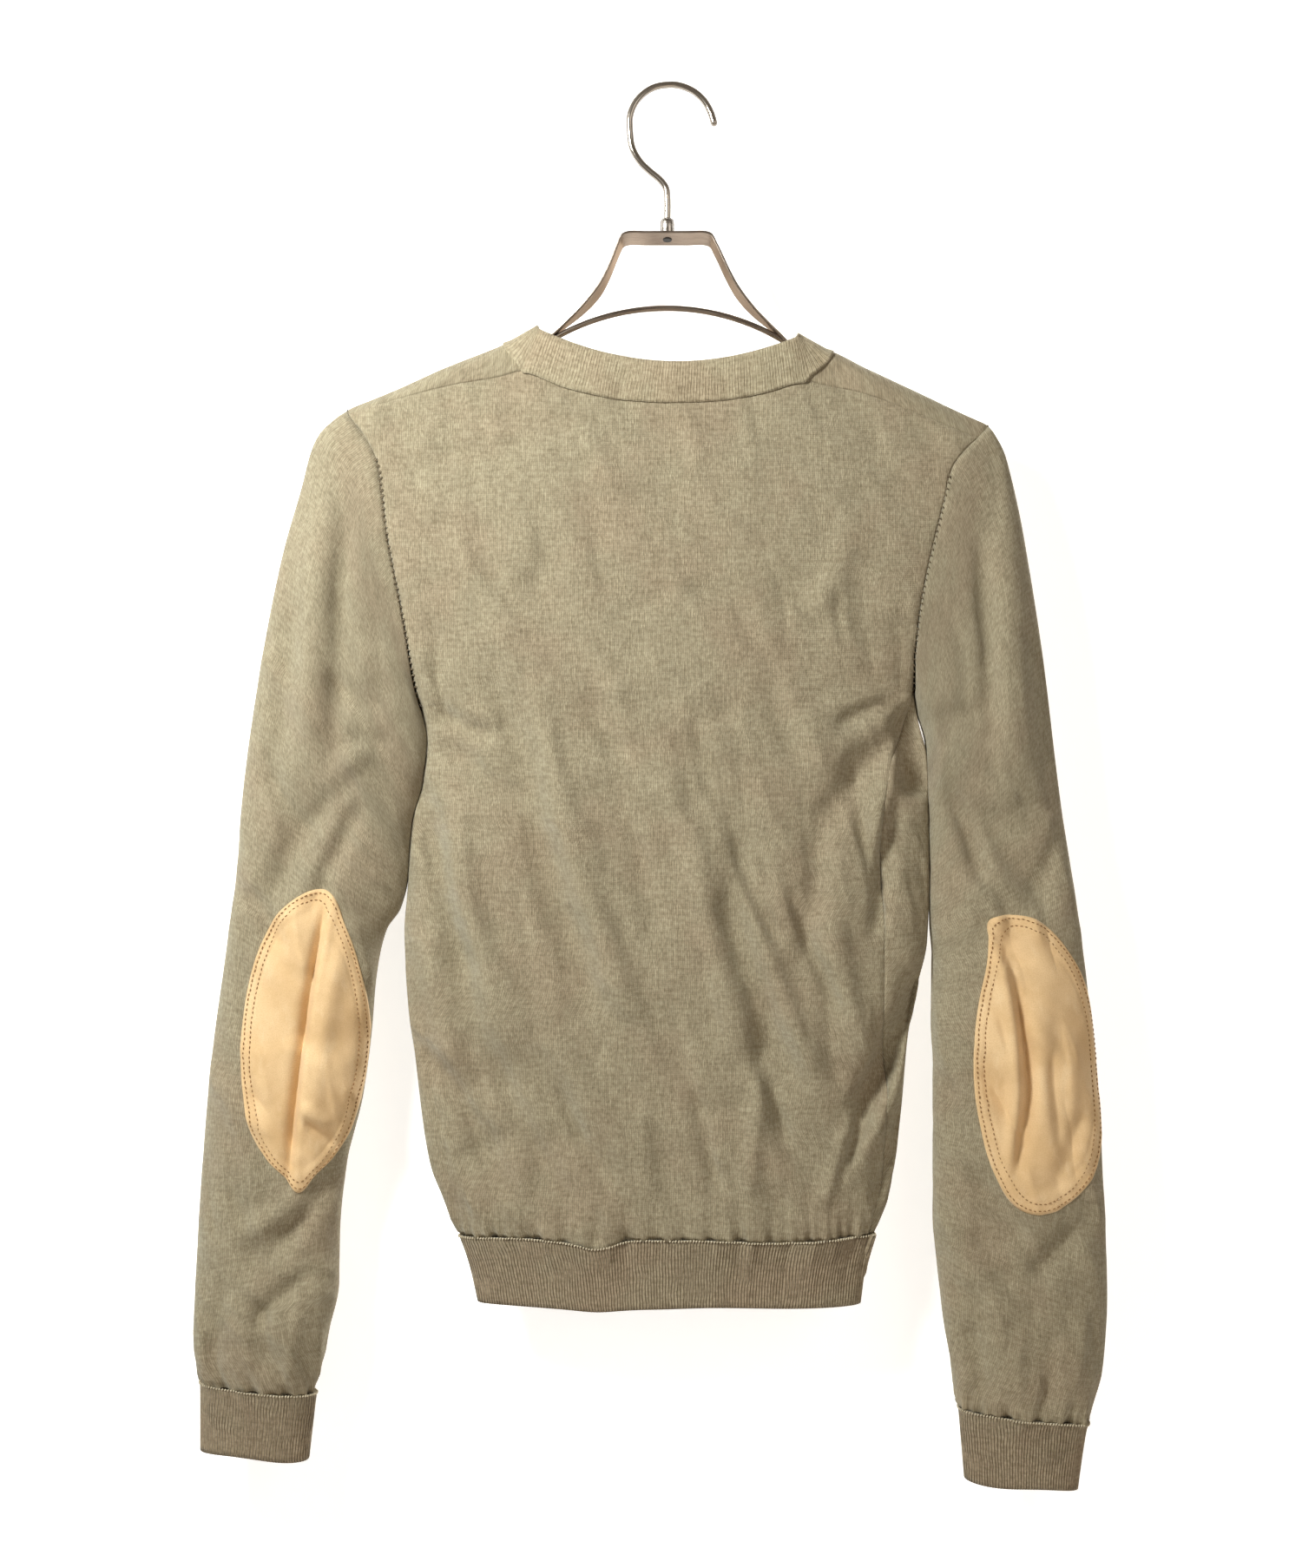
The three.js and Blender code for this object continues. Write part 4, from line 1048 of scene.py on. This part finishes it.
# The collar's outline, as radius and height.
FERRULE = [(0, 10.6), (2.6, 10.6), (3.8, 9.6), (4.2, 8.4), (4.2, 0.6), (3.9, 0), (0, 0)]
METAL_GAP = 0.3
ROD_RADIUS = 1.7
ROD_BEND = 135.0
ROD_TOP = -132.0
ROD_HALF_SPAN = 72.0
ROD_STEPS = 70
HOOK_STEPS = 150
STRAP_STEPS = 300
FINE_STEPS = 2400
STRAP_SQUARENESS = 7
TILT_START = -165  # the strap starts to lean at this level
TILT_REACH = 45  # and leans fully this far above it
CAP_TURNS = (0.5, 1.0, 1.35)  # rings of a rounded end


def bent(stations, count):
    """A smooth path through X and Z stations, evenly spaced."""
    corner = np.array([(x, 0.0, z) for x, z in stations])
    run = np.concatenate([[0], np.cumsum(np.sqrt(np.linalg.norm(np.diff(corner, axis=0), axis=1)))])
    slope = np.stack([np.gradient(corner[:, k], run) for k in range(3)], axis=-1)
    at = np.linspace(0, run[-1], FINE_STEPS)
    i = np.clip(np.searchsorted(run, at) - 1, 0, len(run) - 2)
    span = (run[i + 1] - run[i])[:, None]
    s = (at[:, None] - run[i][:, None]) / span
    path = ((2 * s ** 3 - 3 * s ** 2 + 1) * corner[i] + (s ** 3 - 2 * s ** 2 + s) * span * slope[i]
            + (3 * s ** 2 - 2 * s ** 3) * corner[i + 1] + (s ** 3 - s ** 2) * span * slope[i + 1])
    length = run_along(path)
    return read_off(path, length, np.linspace(0, length[-1], count))


def bar(name, path, half_wall, half_depth, squareness, sides=24, tilt=0.0):
    """A metal bar along a path in the hanger's plane, with rounded ends."""
    way = np.gradient(path, axis=0)
    way /= np.linalg.norm(way, axis=1, keepdims=True)
    across = points_of(-way[:, 2], way[:, 1], way[:, 0])
    turn = np.linspace(0, 2 * np.pi, sides + 1)
    u = squared(np.cos(turn), 2 / squareness) * half_wall
    v = squared(np.sin(turn), 2 / squareness)
    half_depth = np.broadcast_to(half_depth, len(path))
    tilt = np.broadcast_to(tilt, len(path))
    rings = []
    for i, place in enumerate(path):
        rings.append(place + np.outer(u, across[i]) + np.outer(v * half_depth[i], [0, 1, -tilt[i]]))
    for end, step in ((0, -1), (-1, 1)):
        caps = [path[end] + (rings[end] - path[end]) * math.cos(a) + way[end] * step * half_wall * math.sin(a)
                for a in CAP_TURNS]
        rings = (caps[::-1] + rings) if end == 0 else (rings + caps)
    points = np.stack(rings)
    uv = points_of(lengths_along(points, 1), lengths_along(points, 0))
    return grid_piece(name, points, uv, closed=True, capped=True)


def make_strap():
    path = bent(STRAP_ROUTE, STRAP_STEPS)
    taper = smooth((np.abs(path[:, 0] - MIDDLE) - STRAP_WIDE) / STRAP_WIDE)
    depth = STRAP_DEPTH / 2 * mix(1.0, STRAP_TAPER, taper)
    tilt = STRAP_TILT * smooth((path[:, 2] - TILT_START) / TILT_REACH)
    return bar("strap_bar", path, STRAP_WALL / 2, depth, STRAP_SQUARENESS, sides=32, tilt=tilt)


def make_rod():
    x = np.linspace(-ROD_HALF_SPAN, ROD_HALF_SPAN, ROD_STEPS)
    level = ROD_TOP - ROD_BEND + np.sqrt(ROD_BEND ** 2 - x ** 2)
    path = points_of(MIDDLE + x, x * 0, level)
    return bar("rod_bar", path, ROD_RADIUS, ROD_RADIUS, 2, sides=16)


def make_ferrule():
    """The turned collar that the hook's stem stands in."""
    bm = bmesh.new()
    base = STRAP_SEAT + STRAP_WALL / 2 + METAL_GAP
    ring = [bm.verts.new((radius * MM, 0, height * MM)) for radius, height in FERRULE]
    line = [bm.edges.new(pair) for pair in zip(ring, ring[1:])]
    bmesh.ops.spin(bm, geom=ring + line, cent=(0, 0, 0), axis=(0, 0, 1), angle=2 * math.pi, steps=40,
                   use_merge=True)
    bmesh.ops.remove_doubles(bm, verts=bm.verts, dist=0.01 * MM)
    corners = [e for e in bm.edges if e.is_manifold and e.calc_face_angle() > 0.5]
    bmesh.ops.bevel(bm, geom=corners, offset=0.25 * MM, offset_type="OFFSET", affect="EDGES", segments=2,
                    profile=0.5, material=-1)
    bmesh.ops.recalc_face_normals(bm, faces=bm.faces)
    bmesh.ops.translate(bm, verts=bm.verts, vec=(STEM * MM, 0, base * MM))
    return finish_piece("ferrule_collar", bm)


def make_rivet():
    """The rivet that holds the hook under the strap's seat; its near-black colour is painted shade, standing
    in for the hole in the strap round it.
    """
    bm = bmesh.new()
    bmesh.ops.create_cone(bm, cap_ends=True, segments=28, radius1=2.5 * MM, radius2=3.0 * MM,
                          depth=0.9 * MM)
    bmesh.ops.rotate(bm, verts=bm.verts, cent=(0, 0, 0), matrix=Matrix.Rotation(-STRAP_TILT, 3, "X"))
    bmesh.ops.translate(bm, verts=bm.verts, vec=(STEM * MM, 0, (STRAP_SEAT - STRAP_WALL / 2 - 0.1) * MM))
    return finish_piece("rivet_head", bm, smooth_shading=False)


# ---------------------------------------------------------------- node groups

class Graph:
    """Short ways to place and join shader nodes in one tree."""

    def __init__(self, tree):
        self.tree = tree

    def node(self, kind, **settings):
        made = self.tree.nodes.new(kind)
        for key, value in settings.items():
            setattr(made, key, value)
        return made

    def put(self, socket, value):
        if isinstance(value, bpy.types.NodeSocket):
            self.tree.links.new(value, socket)
        else:
            socket.default_value = value

    def feed(self, node, **values):
        """Sets or links a node's inputs by name, with underscores for the spaces in it."""
        for key, value in values.items():
            self.put(node.inputs[key.replace("_", " ")], value)

    def math(self, operation, a, b=0.0):
        made = self.node("ShaderNodeMath", operation=operation)
        self.put(made.inputs[0], a)
        self.put(made.inputs[1], b)
        return made.outputs[0]

    def times(self, a, b):
        return self.math("MULTIPLY", a, b)

    def plus(self, a, b):
        return self.math("ADD", a, b)

    def noise(self, vector, scale, detail=3.0, rough=0.5, stretch=(1, 1, 1)):
        spread = self.node("ShaderNodeMapping")
        self.feed(spread, Vector=vector, Scale=stretch)
        made = self.node("ShaderNodeTexNoise")
        self.feed(made, Vector=spread.outputs[0], Scale=scale, Detail=detail, Roughness=rough)
        return made.outputs["Fac"]

    def range(self, value, low, high, to_low=0.0, to_high=1.0):
        made = self.node("ShaderNodeMapRange", interpolation_type="SMOOTHSTEP")
        for socket, number in zip(made.inputs, (value, low, high, to_low, to_high)):
            self.put(socket, number)
        return made.outputs[0]

    def blend(self, fac, a, b, kind="MIX"):
        made = self.node("ShaderNodeMix", data_type="RGBA", blend_type=kind)
        self.put(made.inputs[0], fac)
        self.put(made.inputs[6], a)
        self.put(made.inputs[7], b)
        return made.outputs[2]

    def group(self, shared, **values):
        made = self.node("ShaderNodeGroup")
        made.node_tree = shared
        self.feed(made, **values)
        return made.outputs

    def either(self, fac, a, b):
        """One shader or the other, by a mask."""
        made = self.node("ShaderNodeMixShader")
        for socket, value in zip(made.inputs, (fac, a, b)):
            self.put(socket, value)
        return made.outputs[0]


def shared_group(name, sockets_in, sockets_out):
    """An empty group with the sockets given by name and kind."""
    tree = bpy.data.node_groups.new(name, "ShaderNodeTree")
    for way, sockets in (("INPUT", sockets_in), ("OUTPUT", sockets_out)):
        for label, kind in sockets.items():
            tree.interface.new_socket(name=label, in_out=way, socket_type="NodeSocket" + kind)
    graph = Graph(tree)
    return graph, graph.node("NodeGroupInput").outputs, graph.node("NodeGroupOutput").inputs


def knit_group():
    """Plain knit: columns of V-shaped stitches, as a height and a mask of the gaps between them."""
    graph, given, result = shared_group(
        "plain_knit", {"Vector": "Vector", "Wale": "Float", "Course": "Float"},
        {"Height": "Float", "Gaps": "Float"})
    apart = graph.node("ShaderNodeSeparateXYZ")
    graph.put(apart.inputs[0], given["Vector"])
    drift = graph.times(graph.noise(given["Vector"], 55.0, 2.0), 0.004)
    across = graph.math("DIVIDE", graph.plus(apart.outputs[0], drift), given["Wale"])
    up = graph.math("DIVIDE", apart.outputs[1], given["Course"])
    from_middle = graph.math("ABSOLUTE", graph.math("SUBTRACT", graph.math("FRACT", across), 0.5))
    side = graph.times(from_middle, 2.0)
    leg = graph.math("SINE", graph.times(side, math.pi))
    phase = graph.plus(up, graph.times(side, 0.5))
    wave = graph.math("COSINE", graph.times(phase, 2 * math.pi))
    bead = graph.plus(graph.times(wave, 0.22), 0.78)
    graph.put(result["Height"], graph.times(leg, bead))
    graph.put(result["Gaps"], graph.range(side, 0.55, 1.0))
    return graph.tree


def yarn_group():
    """Mixed wool: two tones of fibre spun together, in flecks, in uneven rows and in soft patches."""
    graph, given, result = shared_group(
        "mixed_yarn", {"Vector": "Vector", "Dark": "Color", "Light": "Color", "Warm": "Color"},
        {"Color": "Color", "Fuzz": "Float"})
    fleck = graph.noise(given["Vector"], 700.0, 3.0, 0.6, (1.0, 0.55, 1.0))
    rows = graph.noise(given["Vector"], 560.0, 2.0, 0.55, (0.2, 1.0, 1.0))
    columns = graph.noise(given["Vector"], 520.0, 2.0, 0.55, (1.0, 0.16, 1.0))
    patch = graph.noise(given["Vector"], 16.0, 3.0, 0.55)
    tone = graph.plus(graph.times(fleck, 0.5), graph.times(rows, 0.25))
    tone = graph.plus(tone, graph.times(columns, 0.25))
    mixed = graph.blend(graph.range(tone, 0.33, 0.67), given["Dark"], given["Light"])
    warm = graph.range(patch, 0.42, 0.66, 0.0, 0.7)
    graph.put(result["Color"], graph.blend(warm, mixed, given["Warm"], "MULTIPLY"))
    graph.put(result["Fuzz"], fleck)
    return graph.tree


def brushed_group():
    """Fine lines along brushed metal, as a height and a mask."""
    graph, given, result = shared_group(
        "brushed_lines", {"Vector": "Vector", "Scale": "Float"}, {"Height": "Float", "Mask": "Float"})
    lines = graph.noise(given["Vector"], given["Scale"], 4.0, 0.6, (1.0, 0.03, 1.0))
    graph.put(result["Height"], lines)
    graph.put(result["Mask"], graph.range(lines, 0.35, 0.65))
    return graph.tree


KNIT = knit_group()
YARN = yarn_group()
BRUSHED = brushed_group()


# ---------------------------------------------------------------- materials

def new_material(name):
    made = bpy.data.materials.new(name)
    made.use_nodes = True
    made.node_tree.nodes.clear()
    graph = Graph(made.node_tree)
    shader = graph.node("ShaderNodeBsdfPrincipled")
    output = graph.node("ShaderNodeOutputMaterial")
    graph.put(output.inputs["Surface"], shader.outputs[0])
    return made, graph, shader


def cloth_place(graph):
    return graph.node("ShaderNodeUVMap", uv_map="cloth").outputs[0]


def object_place(graph):
    return graph.node("ShaderNodeTexCoord").outputs["Object"]


def bump(graph, shader, height, strength, distance):
    made = graph.node("ShaderNodeBump")
    graph.feed(made, Height=height, Strength=strength, Distance=distance)
    graph.feed(shader, Normal=made.outputs[0])


def wool_material(name, dark, light, wale, knit_depth, gap_shade):
    made, graph, shader = new_material(name)
    place = cloth_place(graph)
    knit = graph.group(KNIT, Vector=place, Wale=wale, Course=COURSE)
    yarn = graph.group(YARN, Vector=place, Dark=dark, Light=light, Warm=WOOL_WARM)
    # Painted shade: the gaps between the columns of stitches are darkened in the colour, by gap_shade.
    shade = graph.times(knit["Gaps"], gap_shade)
    gap = tuple(c * 0.45 for c in dark[:3]) + (1,)
    graph.feed(shader, Base_Color=graph.blend(shade, yarn["Color"], gap),
               Roughness=graph.range(yarn["Fuzz"], 0.3, 0.7, 0.84, 0.97),
               Specular_IOR_Level=0.25, Sheen_Weight=0.22, Sheen_Roughness=0.45,
               Sheen_Tint=(0.95, 0.98, 0.9, 1))
    bump(graph, shader, graph.plus(knit["Height"], graph.times(yarn["Fuzz"], 0.6)), 0.75, knit_depth)
    return made


COURSE = 0.0009  # height of a row of stitches, in metres
WALE = 0.00125  # width of a column of them
WOOL_DARK = (0.255, 0.212, 0.135, 1)
WOOL_LIGHT = (0.475, 0.418, 0.292, 1)
WOOL_WARM = (1.0, 0.93, 0.93, 1)
# Painted shade: the hem and cuffs are the body's yarn knitted in rib; their darker tones stand in for these
# bands hanging lowest, furthest from the light. The neckband keeps the body's tones.
RIB_DARK_SHADED = (0.22, 0.175, 0.112, 1)
RIB_LIGHT_SHADED = (0.41, 0.345, 0.24, 1)
WOOL = wool_material("heathered_wool", WOOL_DARK, WOOL_LIGHT, WALE, 0.00034, 0.5)
RIBBING = wool_material("ribbed_wool_shaded", RIB_DARK_SHADED, RIB_LIGHT_SHADED, RIB_PITCH * MM, 0.0003, 0.95)
BAND_KNIT = wool_material("neckband_wool", WOOL_DARK, WOOL_LIGHT, RIB_PITCH * MM, 0.0002, 0.3)


def suede_material():
    made, graph, shader = new_material("patch_suede")
    place = cloth_place(graph)
    nap = graph.noise(place, 26.0, 5.0, 0.62)
    scuff = graph.noise(place, 95.0, 4.0, 0.65, (1.0, 0.45, 1.0))
    grain = graph.noise(place, 1500.0, 2.0, 0.6)
    tone = graph.blend(graph.range(nap, 0.32, 0.68), (0.66, 0.45, 0.235, 1), (0.8, 0.58, 0.335, 1))
    tone = graph.blend(graph.range(scuff, 0.5, 0.72, 0.0, 0.45), tone, (0.84, 0.65, 0.41, 1))
    tone = graph.blend(graph.range(grain, 0.3, 0.6, 0.3, 0.0), tone, (0.5, 0.31, 0.14, 1))
    graph.feed(shader, Base_Color=tone, Roughness=graph.range(nap, 0.3, 0.7, 0.82, 0.95),
               Specular_IOR_Level=0.2, Sheen_Weight=0.3, Sheen_Roughness=0.5,
               Sheen_Tint=(1.0, 0.9, 0.75, 1))
    bump(graph, shader, graph.plus(graph.times(grain, 0.5), graph.times(scuff, 1.6)), 0.55, 0.0004)
    return made


def thread_material(name, dark, light):
    made, graph, shader = new_material(name)
    twist = graph.noise(object_place(graph), 1300.0, 2.0)
    tone = graph.blend(graph.range(twist, 0.35, 0.65), dark, light)
    graph.feed(shader, Base_Color=tone, Roughness=0.85, Specular_IOR_Level=0.25)
    return made


def painted_dark_rim(graph, shader, colour, strength):
    """Painted reflection: round polished metal looks dark towards its outline, where it mirrors the room
    beside it, so its colour is darkened there and it is made less metallic.
    """
    facing = graph.node("ShaderNodeLayerWeight").outputs["Facing"]
    rim = graph.range(facing, 0.3, 0.72, 0.0, strength)
    graph.feed(shader, Base_Color=graph.blend(rim, colour, (0.11, 0.09, 0.08, 1)),
               Metallic=graph.plus(graph.times(rim, -0.95), 1.0), Specular_IOR_Level=0.05)


def metal_material(name, tone, edge, roughness, rim=0.0):
    made, graph, shader = new_material(name)
    brushed = graph.group(BRUSHED, Vector=cloth_place(graph), Scale=900.0)
    smudge = graph.noise(object_place(graph), 60.0, 3.0)
    dull = tuple(c * 0.82 for c in tone[:3]) + (1,)
    painted_dark_rim(graph, shader, graph.blend(graph.range(smudge, 0.3, 0.7), dull, tone), rim)
    rough = graph.plus(graph.times(brushed["Mask"], 0.12), roughness)
    graph.feed(shader, Roughness=rough, Specular_Tint=edge)
    bump(graph, shader, brushed["Height"], 0.25, 0.00006)
    return made


def turned_metal_material():
    made, graph, shader = new_material("turned_steel")
    rings = graph.noise(object_place(graph), 900.0, 3.0, 0.6, (0.05, 0.05, 1.0))
    tone = graph.blend(graph.range(rings, 0.3, 0.7), (0.36, 0.33, 0.3, 1), (0.56, 0.52, 0.48, 1))
    painted_dark_rim(graph, shader, tone, 1.0)
    graph.feed(shader, Roughness=graph.range(rings, 0.3, 0.7, 0.2, 0.32))
    return made


def rivet_material():
    made, graph, shader = new_material("rivet_painted_shade")
    # Painted shade: near black, for the hole in the strap round the rivet.
    worn = graph.noise(object_place(graph), 700.0, 3.0)
    tone = graph.blend(worn, (0.008, 0.007, 0.006, 1), (0.035, 0.03, 0.026, 1))
    graph.feed(shader, Base_Color=tone, Roughness=0.5)
    return made


SUEDE = suede_material()
PATCH_THREAD = thread_material("patch_thread", (0.22, 0.12, 0.05, 1), (0.38, 0.22, 0.1, 1))
SEAM_THREAD = thread_material("seam_thread", (0.12, 0.09, 0.055, 1), (0.22, 0.175, 0.11, 1))
LINKING_THREAD = thread_material("linking_thread", (0.46, 0.4, 0.28, 1), (0.66, 0.6, 0.46, 1))
STEEL = metal_material("brushed_steel", (0.5, 0.45, 0.4, 1), (0.62, 0.56, 0.5, 1), 0.14, 1.0)
# Painted shade: the strap and rod are of the hook's steel; their darker, browner tone stands in for the dim
# room that they mirror.
STRAP_STEEL_SHADED = metal_material("strap_steel_shaded", (0.34, 0.28, 0.235, 1), (0.42, 0.36, 0.31, 1), 0.24)
TURNED = turned_metal_material()
RIVET = rivet_material()


# ---------------------------------------------------------------- the pieces, placed on the frame

def finished(piece, finish, slot, *stands_for):
    piece.data.materials.append(finish)
    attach(piece, "root")
    if stands_for:
        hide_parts(*stands_for)
    return piece


strap = finished(make_strap(), STRAP_STEEL_SHADED, "metal", "hanger_strap")
hook = bar("hook_wire", bent(HOOK_ROUTE, HOOK_STEPS), HOOK_WIRE, HOOK_WIRE, 2)
finished(hook, STEEL, "metal", "hanger_hook")
finished(make_rod(), STRAP_STEEL_SHADED, "metal", "hanger_rod")
finished(make_ferrule(), TURNED, "metal", "hanger_ferrule")
finished(make_rivet(), RIVET, "metal")

back = finished(make_back(), WOOL, "wool", "back")
front = finished(make_front(), WOOL, "wool", "front")
band = finished(make_neckband(), BAND_KNIT, "ribbing", "neckband")
hem = finished(ribbed("hem_band", hem_loops()), RIBBING, "ribbing", "hem_rib")
for side in (LEFT, RIGHT):
    sleeve = finished(make_sleeve(side), WOOL, "wool", "sleeve_" + side.name)
    loops = cuff_loops(side)
    cuff = finished(ribbed("cuff_band_" + side.name, loops), RIBBING, "ribbing", "cuff_" + side.name)
    patch = finished(make_patch(side), SUEDE, "suede", "patch_" + side.name)
    finished(make_armhole_stitches(side), SEAM_THREAD, "wool")
    finished(make_patch_stitches(side), PATCH_THREAD, "suede")
    finished(make_linking("cuff_linking_" + side.name, loops[0]), LINKING_THREAD, "ribbing")
finished(make_linking("hem_linking", hem_loops()[0]), LINKING_THREAD, "ribbing")


# ---------------------------------------------------------------- stage

def stage_material(name, colour, glow, one_sided):
    made, graph, shader = new_material(name)
    graph.feed(shader, Base_Color=colour, Roughness=1.0, Specular_IOR_Level=0.0,
               Emission_Color=(1, 1, 1, 1))
    if one_sided:
        ray = graph.node("ShaderNodeLightPath").outputs
        seen = graph.math("MAXIMUM", ray["Is Camera Ray"], ray["Is Glossy Ray"])
        graph.feed(shader, Emission_Strength=graph.times(seen, glow))
        surface = shader.outputs[0].links[0].to_socket
        behind = graph.node("ShaderNodeNewGeometry").outputs["Backfacing"]
        clear = graph.node("ShaderNodeBsdfTransparent").outputs[0]
        hidden = graph.math("MAXIMUM", behind, ray["Is Shadow Ray"])
        graph.put(surface, graph.either(hidden, shader.outputs[0], clear))
    return made


def stage_plane(name, size, turn, place, finish):
    bm = bmesh.new()
    bmesh.ops.create_grid(bm, x_segments=1, y_segments=1, size=size / 2)
    bmesh.ops.rotate(bm, verts=bm.verts, cent=(0, 0, 0), matrix=Matrix.Rotation(turn, 3, "X"))
    bmesh.ops.translate(bm, verts=bm.verts, vec=place)
    piece = finish_piece(name, bm, smooth_shading=False)
    piece.data.materials.append(finish)


FLOOR_SIZE = 12.0  # metres, as all of the stage
FLOOR_LEVEL = -1.45
BACKDROP_SIZE = 6.0
BACKDROP_DEPTH = 0.036  # just clear of the front
GARMENT_LEVEL = -0.4
FLOOR_PAINT = stage_material("floor_paint", (0.85, 0.84, 0.82, 1), 0.0, False)
BACKDROP_PAPER = stage_material("backdrop_paper", (0.9, 0.9, 0.9, 1), 0.66, True)
stage_plane("floor", FLOOR_SIZE, 0.0, (0, 0, FLOOR_LEVEL), FLOOR_PAINT)
stage_plane("backdrop", BACKDROP_SIZE, math.pi / 2, (0, BACKDROP_DEPTH, GARMENT_LEVEL), BACKDROP_PAPER)


def area_light(name, place, aim, size, energy, colour):
    lamp = bpy.data.lights.new(name, "AREA")
    lamp.shape = "SQUARE"
    lamp.size = size
    lamp.energy = energy
    lamp.color = colour
    holder = bpy.data.objects.new(name, lamp)
    holder.location = place
    holder.rotation_euler = (Vector(aim) - Vector(place)).to_track_quat("-Z", "Y").to_euler()
    bpy.context.scene.collection.objects.link(holder)


area_light("key_light", (-0.6, -0.66, 0.12), (0, 0, -0.42), 0.24, 14.5, (0.98, 1.0, 0.96))
area_light("low_light", (0.25, -1.0, -1.3), (0, 0, -0.72), 0.9, 1.0, (1.0, 0.66, 0.38))
area_light("fill_light", (1.1, -1.4, 0.1), (0, 0, GARMENT_LEVEL), 1.0, 5, (1.0, 0.94, 0.86))
area_light("rear_key_light", (0.6, 0.95, 0.2), (0, 0, GARMENT_LEVEL), 0.5, 22, (1.0, 0.99, 0.96))
area_light("rear_fill_light", (-1.6, 1.8, 0.2), (0, 0, GARMENT_LEVEL), 1.4, 10, (1.0, 0.96, 0.9))

world = bpy.data.worlds.new("studio")
world.use_nodes = True
room = Graph(world.node_tree)
room_light = world.node_tree.nodes["Background"]
room.feed(room_light, Color=(1.0, 0.86, 0.7, 1), Strength=0.2)
room_wall = room.node("ShaderNodeBackground")
room.feed(room_wall, Color=(0.9, 0.89, 0.87, 1))
on_camera = room.node("ShaderNodeLightPath").outputs["Is Camera Ray"]
room_seen = room.either(on_camera, room_light.outputs[0], room_wall.outputs[0])
room.put(world.node_tree.nodes["World Output"].inputs[0], room_seen)
bpy.context.scene.world = world

SENSOR_WIDTH = 36  # millimetres
FOCAL_LENGTH = 47.9
CAMERA_PLACE = (-0.0114, -1.25, -0.417)

lens = bpy.data.cameras.new("camera")
lens.sensor_width = SENSOR_WIDTH
lens.lens = FOCAL_LENGTH
camera = bpy.data.objects.new("camera", lens)
camera.location = CAMERA_PLACE
camera.rotation_euler = (math.pi / 2, 0, 0)
bpy.context.scene.collection.objects.link(camera)
bpy.context.scene.camera = camera
bpy.context.scene.view_settings.view_transform = "Standard"
